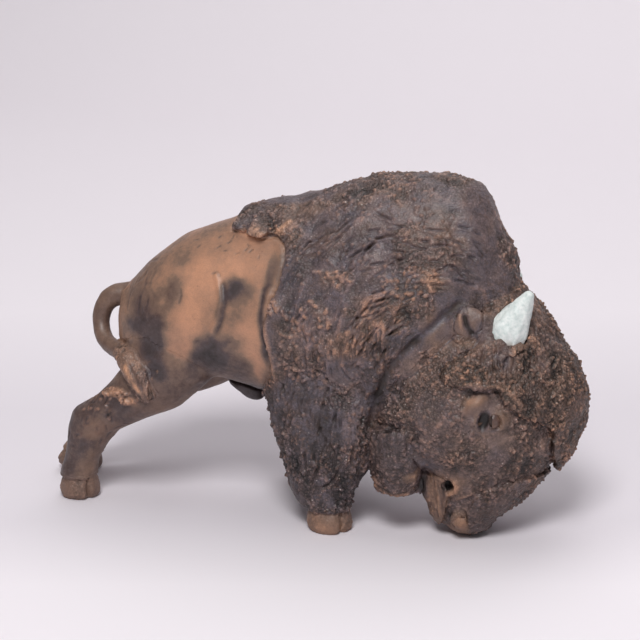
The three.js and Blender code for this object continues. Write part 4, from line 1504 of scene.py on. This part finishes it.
    def _texture(self, p: np.ndarray) -> np.ndarray:
        """Works out strands and grains, and what they change in smoke and warmth.

        Args:
            p: N x 3 places.

        Returns:
            N heights in millimetres.
        """
        self._head = self.member("head", "forelock", "nose", "upper_lip", "lower_jaw", "brow", "ear")
        self._leg = self.member("fore_leg", "hind_leg", "hoof", "tail")
        self.flow = self._combed(p + 2.0 * drift(p, 14, Seed.FLOW))
        lines = self.flow / np.array([1, 6.0, 1])
        strand = (1 - np.abs(noise(lines, 2.4, Seed.STRANDS)) * 2) * 0.6
        strand += (1 - np.abs(noise(lines, 1.3, Seed.THIN_STRANDS)) * 2) * 0.4
        self.comb = self.comb * (0.25 + 0.75 * ramp(fractal(p, 20, Seed.COMBED_PATCHES, 2), -0.2, 0.3))
        self.comb = np.clip(self.comb + 0.5 * (self.warm > 0.75) * (self._head < 0.5) * self.coat, 0, 1)
        sway = drift(p, 2.2, Seed.GRAIN_EDGES)
        gap, number = crumbs(p + sway * 1.1, 2.5, Seed.LARGE_GRAINS)
        large = ramp(-gap, -0.7, -0.15) * (number > 0.5) * (0.3 + number)
        gap, number = crumbs(p + sway * 0.7, 1.7, Seed.SMALL_GRAINS)
        small = ramp(-gap, -0.75, -0.1) * (0.3 + 0.8 * number)
        low = 0.25 + 0.35 * self._head
        dense = low + (1 - low) * ramp(fractal(p, 15, Seed.DENSITY), -0.2, 0.2)
        self.grain = self.grain * (0.35 + 0.65 * dense)
        self.warm = self.warm + 0.5 * (dense - 0.6) * self.coat
        self.soot = self.soot + 0.1 * (0.6 - dense) * self.coat
        grains = (large * 1.25 + small * 0.85 - 0.5) * dense
        clumps = 1 - np.abs(noise(self.flow / np.array([1, 3.2, 1]), 6.0, Seed.CLUMPS)) * 3.2
        clumps = clumps * (0.3 * self.comb + 0.22 * self.grain) * self.coat
        fine = noise(p, 1.2, Seed.FINE) * 0.15 * self.grain
        return strand * 0.75 * self.comb + grains * self.grain + clumps + fine

    def _finish(self, texture: np.ndarray) -> None:
        """Gathers what the finishes read from the mesh.

        Args:
            texture: height of strands and grains at each point.
        """
        p = self.points
        # Relief drives painted light on high places and painted shade in low ones; bare clay counts as high
        relief = np.clip(0.5 + texture * (1 - self.calm) * 0.6 + self.bare * 0.3, 0, 1)
        patches = ramp(fractal(p, 12, Seed.WORN_PATCHES), -0.3, 0.35)
        high = ramp(texture, 0.1, 0.6) * np.clip(self.grain + self.comb, 0, 1) * (1 - self.calm)
        worn = self.wear * (0.25 + 0.55 * patches + high * 0.5)
        worn = worn * np.where(self.coat > 0.5, 0.4 + high * 0.7, 1.0)
        worn = np.clip(np.maximum(worn, self.bare), 0, 1)
        warm = np.clip(self.warm, 0, 1)
        self.marks = {
            "clay": np.stack([self.soot, worn, relief, np.clip(self.calm, 0, 1)], axis=1),
            "work": np.stack([self.comb, self.grain, warm, np.full(len(p), SKIN_MARK)], axis=1),
            "flow": self.flow * MM,
        }

    def clamp(self, low: Vector, high: Vector) -> None:
        """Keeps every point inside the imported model's box and writes the mesh.

        Args:
            low, high: corners of the box in metres.
        """
        self.points = np.clip(self.points, np.array(low) / MM, np.array(high) / MM)
        self.write()
        store(self.object.data, self.marks)


def store(mesh: bpy.types.Mesh, marks: dict) -> None:
    """Writes colours and vectors to the points of a mesh.

    Args:
        mesh: the mesh.
        marks: N x 4 or N x 3 values by name.
    """
    for name, values in marks.items():
        kind, slot = ("FLOAT_COLOR", "color") if values.shape[1] == 4 else ("FLOAT_VECTOR", "vector")
        layer = mesh.attributes.get(name) or mesh.attributes.new(name, kind, "POINT")
        layer.data.foreach_set(slot, values.astype(np.float32).ravel())


def plain_marks(count: int, soot: np.ndarray, wear: np.ndarray, warm: float = 0.5) -> dict:
    """Makes the marks of a small calm piece.

    Args:
        count: number of its points.
        soot: smoke at each point, with painted shade in the eye's slit.
        wear: bare clay at each point.
        warm: from cool grey 0 to warm brown 1.

    Returns:
        Values by name, for store.
    """
    one = np.ones(count)
    return {
        "clay": np.stack([soot * one, wear * one, one * 0.5, one * 0.6], axis=1),
        "work": np.stack([one * 0, one * 0.2, one * warm, one], axis=1),
    }


@dataclass
class Carver:
    """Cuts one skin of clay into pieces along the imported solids.

    Args:
        mass: the worked skin.
        margin: how far a cut lies outside its solid, in millimetres.
    """

    mass: BisonClay
    margin: float = 2.4

    # The order of cutting, by the first part of the solids' names
    ORDER = (
        "saddle_patch", "brow", "ear", "nose_pad", "upper_lip", "nose_bridge", "belly_sheath",
        "tail_tuft", "hoof", "tail", "lower_jaw", "forelock", "head", "mane_coat", "fore_leg", "hind_leg",
    )

    def run(self, finishes: dict) -> list:
        """Cuts every piece.

        Args:
            finishes: material and slot name by the first part of a solid's name.

        Returns:
            The pieces.
        """
        source = self.mass.object
        tree = search_tree(self.mass.points * MM)
        pieces = []
        names = sorted(self.mass.names, key=self._rank)
        for name in names:
            mesh = source.data
            if name != names[-1]:
                cutter = to_object(merged(self.mass.nodes[name], self.margin), "cutter")
                mesh = self._boolean(source, cutter, "INTERSECT")
                source.data = self._boolean(source, cutter, "DIFFERENCE")
                bpy.data.objects.remove(cutter)
            piece = bpy.data.objects.new(name + "_clay", mesh)
            bpy.context.scene.collection.objects.link(piece)
            drop_slivers(mesh)
            self._mark_cuts(mesh, tree)
            pieces.append(dress(piece, *finishes[longest_key(name, finishes)], name))
        bpy.data.objects.remove(source)
        return pieces

    def _mark_cuts(self, mesh: bpy.types.Mesh, tree: KDTree) -> None:
        """Gives the points of the cuts the marks of the nearest point of the skin.

        Args:
            mesh: the mesh of a piece.
            tree: tree of the skin's points in metres.
        """
        count = len(mesh.vertices)
        places_now = np.empty(count * 3, np.float32)
        mesh.vertices.foreach_get("co", places_now)
        seen = np.empty(count * 4, np.float32)
        mesh.attributes["work"].data.foreach_get("color", seen)
        new = np.flatnonzero(abs(seen.reshape(-1, 4)[:, 3] - SKIN_MARK) > 1e-3)
        near = [tree.find(point)[1] for point in places_now.reshape(-1, 3)[new].tolist()]
        for name, values in self.mass.marks.items():
            slot = "color" if values.shape[1] == 4 else "vector"
            here = np.empty(count * values.shape[1], np.float32)
            layer = mesh.attributes[name].data
            layer.foreach_get(slot, here)
            here = here.reshape(count, -1)
            here[new] = values[near]
            layer.foreach_set(slot, here.ravel())

    def _rank(self, name: str) -> int:
        """The place of a solid in the order of cutting."""
        ranks = [i for i, start in enumerate(self.ORDER) if name.startswith(start)]
        return ranks[0] if ranks else len(self.ORDER)

    @staticmethod
    def _boolean(source: bpy.types.Object, cutter: bpy.types.Object, operation: str) -> bpy.types.Mesh:
        """Cuts one object with another.

        Args:
            source: what is cut.
            cutter: what it is cut with.
            operation: INTERSECT keeps the inside of the cutter, DIFFERENCE the outside.

        Returns:
            A new mesh.
        """
        cut = source.modifiers.new("cut", "BOOLEAN")
        cut.object = cutter
        cut.operation = operation
        cut.solver = "MANIFOLD"
        graph = bpy.context.evaluated_depsgraph_get()
        mesh = bpy.data.meshes.new_from_object(source.evaluated_get(graph))
        source.modifiers.clear()
        return mesh


def drop_slivers(mesh: bpy.types.Mesh, share: float = 0.02) -> None:
    """Removes loose bodies much smaller than the largest one.

    Args:
        mesh: the mesh of a piece.
        share: smallest share of the largest body's points that a body keeps its place with.
    """
    count = len(mesh.vertices)
    if not count:
        return
    edges = np.empty(len(mesh.edges) * 2, np.int64)
    mesh.edges.foreach_get("vertices", edges)
    edges = edges.reshape(-1, 2)
    body = np.arange(count)
    while True:
        low = np.minimum(body[edges[:, 0]], body[edges[:, 1]])
        new = body.copy()
        np.minimum.at(new, edges[:, 0], low)
        np.minimum.at(new, edges[:, 1], low)
        new = new[new]
        if (new == body).all():
            break
        body = new
    kinds, counts = np.unique(body, return_counts=True)
    small = kinds[counts < counts.max() * share]
    if not len(small):
        return
    gone = np.isin(body, small)
    work = bmesh.new()
    work.from_mesh(mesh)
    work.verts.ensure_lookup_table()
    bmesh.ops.delete(work, geom=[work.verts[i] for i in np.flatnonzero(gone)], context="VERTS")
    work.to_mesh(mesh)
    work.free()


def smooth_faces(mesh: bpy.types.Mesh) -> None:
    """Shades a mesh smooth and keeps its cut edges sharp."""
    mesh.polygons.foreach_set("use_smooth", np.ones(len(mesh.polygons), bool))
    mesh.set_sharp_from_angle(angle=math.radians(SHARP_ANGLE))


def small_mass(piece: "Horn | Eye", ending: str) -> ClayMass:
    """Grows and evens out the clay of a piece by itself.

    Args:
        piece: the horn or eye.
        ending: what its own name has after the solid's name.

    Returns:
        Its skin.
    """
    mass = ClayMass(piece.name + ending, {piece.name: piece.node}, piece.voxel, swell=piece.swell)
    mass.grow()
    mass.label(())
    mass.even_out((piece.smooth,) * 3)
    return mass


@dataclass
class Horn:
    """A pale horn with tool marks and a ragged root.

    Args:
        name: name of its solid.
        node: the solid's object.
        voxel: distance between the skin's points, in millimetres.
        swell: how far the solid is grown, in millimetres.
        smooth: how far the smoothing reaches, in millimetres.
    """

    name: str
    node: bpy.types.Object
    voxel: float = 0.45
    swell: float = 0.1
    smooth: float = 1.1

    def build(self, material: bpy.types.Material) -> bpy.types.Object:
        """Makes the horn.

        Args:
            material: its glaze.

        Returns:
            The piece.
        """
        mass = small_mass(self, "_glazed")
        p, n = mass.points, mass.normals
        low = p[:, 2].min()
        root = ramp(-(p[:, 2] - low), -9, -2)
        tool = noise(p / np.array([1, 1, 3.0]), 2.4, Seed.HORN_TOOL) * 0.28
        tool = (tool + fractal(p, 1.6, Seed.HORN_FINE, 2) * 0.18) * (1 + root)
        mass.points = p + n * tool[:, None]
        mass.write()
        worn = root * ramp(fractal(p, 2.6, Seed.HORN_ROOT, 2), -0.1, 0.3) * 0.9
        store(mass.object.data, plain_marks(len(p), worn * 0, worn))
        return dress(mass.object, material, "pale_glaze", self.name)


@dataclass
class Eye:
    """A small round eye whose slit is pressed in and darkened as painted shade.

    Args:
        name: name of its solid.
        node: the solid's object.
        voxel: distance between the skin's points, in millimetres.
        swell: how far the solid is grown, in millimetres.
        smooth: how far the smoothing reaches, in millimetres.
    """

    name: str
    node: bpy.types.Object
    voxel: float = 0.4
    swell: float = 0.25
    smooth: float = 0.8

    # How much of its solid's size the eye keeps along each axis
    SHARES = np.array([0.74, 0.76, 0.84])

    def build(self, material: bpy.types.Material) -> bpy.types.Object:
        """Makes the eye.

        Args:
            material: its clay.

        Returns:
            The piece.
        """
        mass = small_mass(self, "_ball")
        p, n = mass.points, mass.normals
        middle = p.mean(axis=0)
        side = -1 if middle[1] < 0 else 1
        out = HeadFrame.MATRIX @ np.array([-0.6, side, 0.0])
        slit = ramp(HeadFrame.MATRIX[:, 0] @ (middle - p).T, 0.4, 1.6)
        mass.points = middle + (p - middle) * self.SHARES + out * (0.7 - 1.1 * slit)[:, None]
        mass.points = mass.points + n * (fractal(p, 2.4, Seed.EYE_LUMPS, 2) * 0.2)[:, None]
        mass.write()
        shut = ramp(fractal(p, 3, Seed.EYE_SHINE, 2), -0.4, 0.4)
        # Darkening in the slit is painted shade
        store(mass.object.data, plain_marks(len(p), 0.86 + 0.3 * shut + 0.9 * slit, 0.1, 0.9))
        return dress(mass.object, material, "dark_clay", self.name)


def dress(piece: bpy.types.Object, material: bpy.types.Material, slot: str, node: str) -> bpy.types.Object:
    """Gives a piece its shading, material and body, and hides the solid that it stands for.

    Args:
        piece: its object.
        material: its material.
        slot: not used.
        node: the solid that it stands for.

    Returns:
        The piece.
    """
    smooth_faces(piece.data)
    piece.data.materials.clear()
    piece.data.materials.append(material)
    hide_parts(node)
    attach(piece, BODY)
    return piece


# Studio


@dataclass(frozen=True)
class Softbox:
    """A square area light.

    Args:
        name: its name.
        at: place in metres.
        aim: point that it faces, in metres.
        size: side in metres.
        power: watts.
        colour: sRGB colour.
    """

    name: str
    at: tuple
    aim: tuple
    size: float
    power: float
    colour: str = "FFFFFF"

    def build(self) -> None:
        """Adds the light to the scene."""
        data = bpy.data.lights.new(self.name, "AREA")
        data.shape = "SQUARE"
        data.size = self.size
        data.energy = self.power
        data.color = linear(self.colour)[:3]
        lamp = bpy.data.objects.new(self.name, data)
        lamp.location = self.at
        lamp.rotation_euler = (Vector(self.aim) - Vector(self.at)).to_track_quat("-Z", "Y").to_euler()
        bpy.context.scene.collection.objects.link(lamp)


@dataclass(frozen=True)
class Studio:
    """Pale sweep, soft lights and the camera.

    Args:
        target: point in the middle of the picture, in metres.
        azimuth, elevation: direction of the camera in degrees, from the animal's right side.
        distance: from the target to the camera in metres.
        lens: focal length in millimetres.
        lights: the lights.
        world, world_strength: colour and strength of the light from all around.
        half_width: half width of the sweep in metres.
        front, back, top: where the sweep starts, where it starts to curve up and where it ends.
        radius: radius of that curve.
    """

    target: tuple = (-0.00346, 0.02687, 0.0903)
    azimuth: float = 18.0
    elevation: float = 17.0
    distance: float = 1.15
    lens: float = 123.5
    lights: tuple = (
        Softbox("key", (0.2, -1.15, 1.5), (0, 0, 0.05), 0.6, 24.0),
        Softbox("overhead", (-0.1, 0.1, 1.8), (0, 0.1, 0), 1.0, 5.0),
        Softbox("backdrop", (0.0, 1.1, 1.7), (0, 1.6, 0.2), 1.2, 9.5),
    )
    world: str = "F4F2F4"
    world_strength: float = 0.2
    half_width: float = 2.2
    front: float = -1.6
    back: float = 0.9
    top: float = 1.8
    radius: float = 0.6

    def build(self) -> None:
        """Adds sweep, lights, world and camera."""
        self._sweep()
        for light in self.lights:
            light.build()
        world = bpy.data.worlds.new("studio")
        world.use_nodes = True
        background = world.node_tree.nodes["Background"]
        background.inputs["Color"].default_value = linear(self.world)
        background.inputs["Strength"].default_value = self.world_strength
        scene = bpy.context.scene
        scene.world = world
        scene.view_settings.view_transform = "Standard"
        self._camera()

    def _sweep(self) -> None:
        """Adds the sweep: a floor that curves up into a back wall."""
        work = bmesh.new()
        ends = [work.verts.new((x, self.front, 0.0)) for x in (-self.half_width, self.half_width)]
        edge = [work.edges.new(ends)]
        edge = self._pull(work, edge, (0.0, self.back - self.front, 0.0))
        turned = bmesh.ops.spin(
            work,
            geom=edge,
            cent=(0.0, self.back, self.radius),
            axis=(1.0, 0.0, 0.0),
            angle=math.pi / 2,
            steps=16,
        )
        edge = [item for item in turned["geom_last"] if isinstance(item, bmesh.types.BMEdge)]
        self._pull(work, edge, (0.0, 0.0, self.top - self.radius))
        bmesh.ops.reverse_faces(work, faces=work.faces)
        for face in work.faces:
            face.smooth = True
        sweep = to_object(work, "sweep")
        sweep.data.materials.append(FloorFinish().build())
        sweep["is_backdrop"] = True

    @staticmethod
    def _pull(work: bmesh.types.BMesh, edges: list, way: tuple) -> list:
        """Pulls edges out into a face.

        Args:
            work: the bmesh.
            edges: the edges.
            way: how far they go in metres.

        Returns:
            The new edges.
        """
        new = bmesh.ops.extrude_edge_only(work, edges=edges)["geom"]
        ends = [item for item in new if isinstance(item, bmesh.types.BMVert)]
        bmesh.ops.translate(work, vec=way, verts=ends)
        return [item for item in new if isinstance(item, bmesh.types.BMEdge)]

    def _camera(self) -> None:
        """Adds the camera, turned towards the target."""
        a, e = math.radians(self.azimuth), math.radians(self.elevation)
        back = Vector((math.sin(a) * math.cos(e), -math.cos(a) * math.cos(e), math.sin(e)))
        data = bpy.data.cameras.new("camera")
        data.lens = self.lens
        data.sensor_width = 36
        camera = bpy.data.objects.new("camera", data)
        camera.location = Vector(self.target) + back * self.distance
        camera.rotation_euler = (-back).to_track_quat("-Z", "Y").to_euler()
        bpy.context.scene.collection.objects.link(camera)
        bpy.context.scene.camera = camera


VOXEL = 0.72
# Reach of the three levels of smoothing, in millimetres
EVEN_REACH = (0.7, 3.6, 8.0)
# Closes the vent under the belly deep inside, where the hollow starts
PLUGS = ((22, 0.6, 74, 9, 20),)

# The clay finishes, with the solids that each is for
CLAYS = (
    (
        ClayFinish(
            "smooth_clay",
            cool="4B4246",
            warm="543F38",
            bare="C08D70",
            rough_bare=0.42,
            rough_smoke=0.44,
            fine_mm=0.035,
            speckle=0.1,
        ),
        ("body_shell", "hind_leg", "tail", "belly"),
    ),
    (
        ClayFinish("rough_clay", rough_smoke=0.45, grain_height_mm=0.5, fine_mm=0.1, speckle=0.28),
        ("tail_tuft", "mane", "saddle", "fore_leg", "head", "forelock", "nose_bridge", "lower_jaw", "ear"),
    ),
    (
        ClayFinish("bare_clay", fine_mm=0.07, speckle=0.15),
        ("hoof", "nose_pad", "upper_lip", "brow"),
    ),
)


def main() -> None:
    """Builds the clay, cuts it into pieces, adds horns, eyes and the studio."""
    logging.basicConfig(level=logging.INFO, format="%(message)s")
    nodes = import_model()["nodes"]
    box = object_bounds()
    clay_nodes = {name: node for name, node in nodes.items() if not name.startswith(("horn", "eye"))}
    clay = BisonClay("bison_clay", clay_nodes, VOXEL, PLUGS, FILLERS)
    clay.grow()
    clay.label(BLENDED)
    clay.even_out(EVEN_REACH)
    clay.sculpt()
    clay.clamp(*box)

    finishes = {}
    for finish, starts in CLAYS:
        finishes.update(dict.fromkeys(starts, (finish.build(), finish.name)))
    pieces = Carver(clay).run(finishes)
    glaze = GlazeFinish().build()
    dark = ClayFinish("dark_clay", rough_smoke=0.4, fine_mm=0.03, speckle=0.1).build()
    for name, node in nodes.items():
        if name.startswith("horn"):
            pieces.append(Horn(name, node).build(glaze))
        if name.startswith("eye"):
            pieces.append(Eye(name, node).build(dark))
    for piece in pieces:
        log.info("%s: %d faces", piece.name, len(piece.data.polygons))
    Studio().build()


if __name__ == "__main__":
    main()
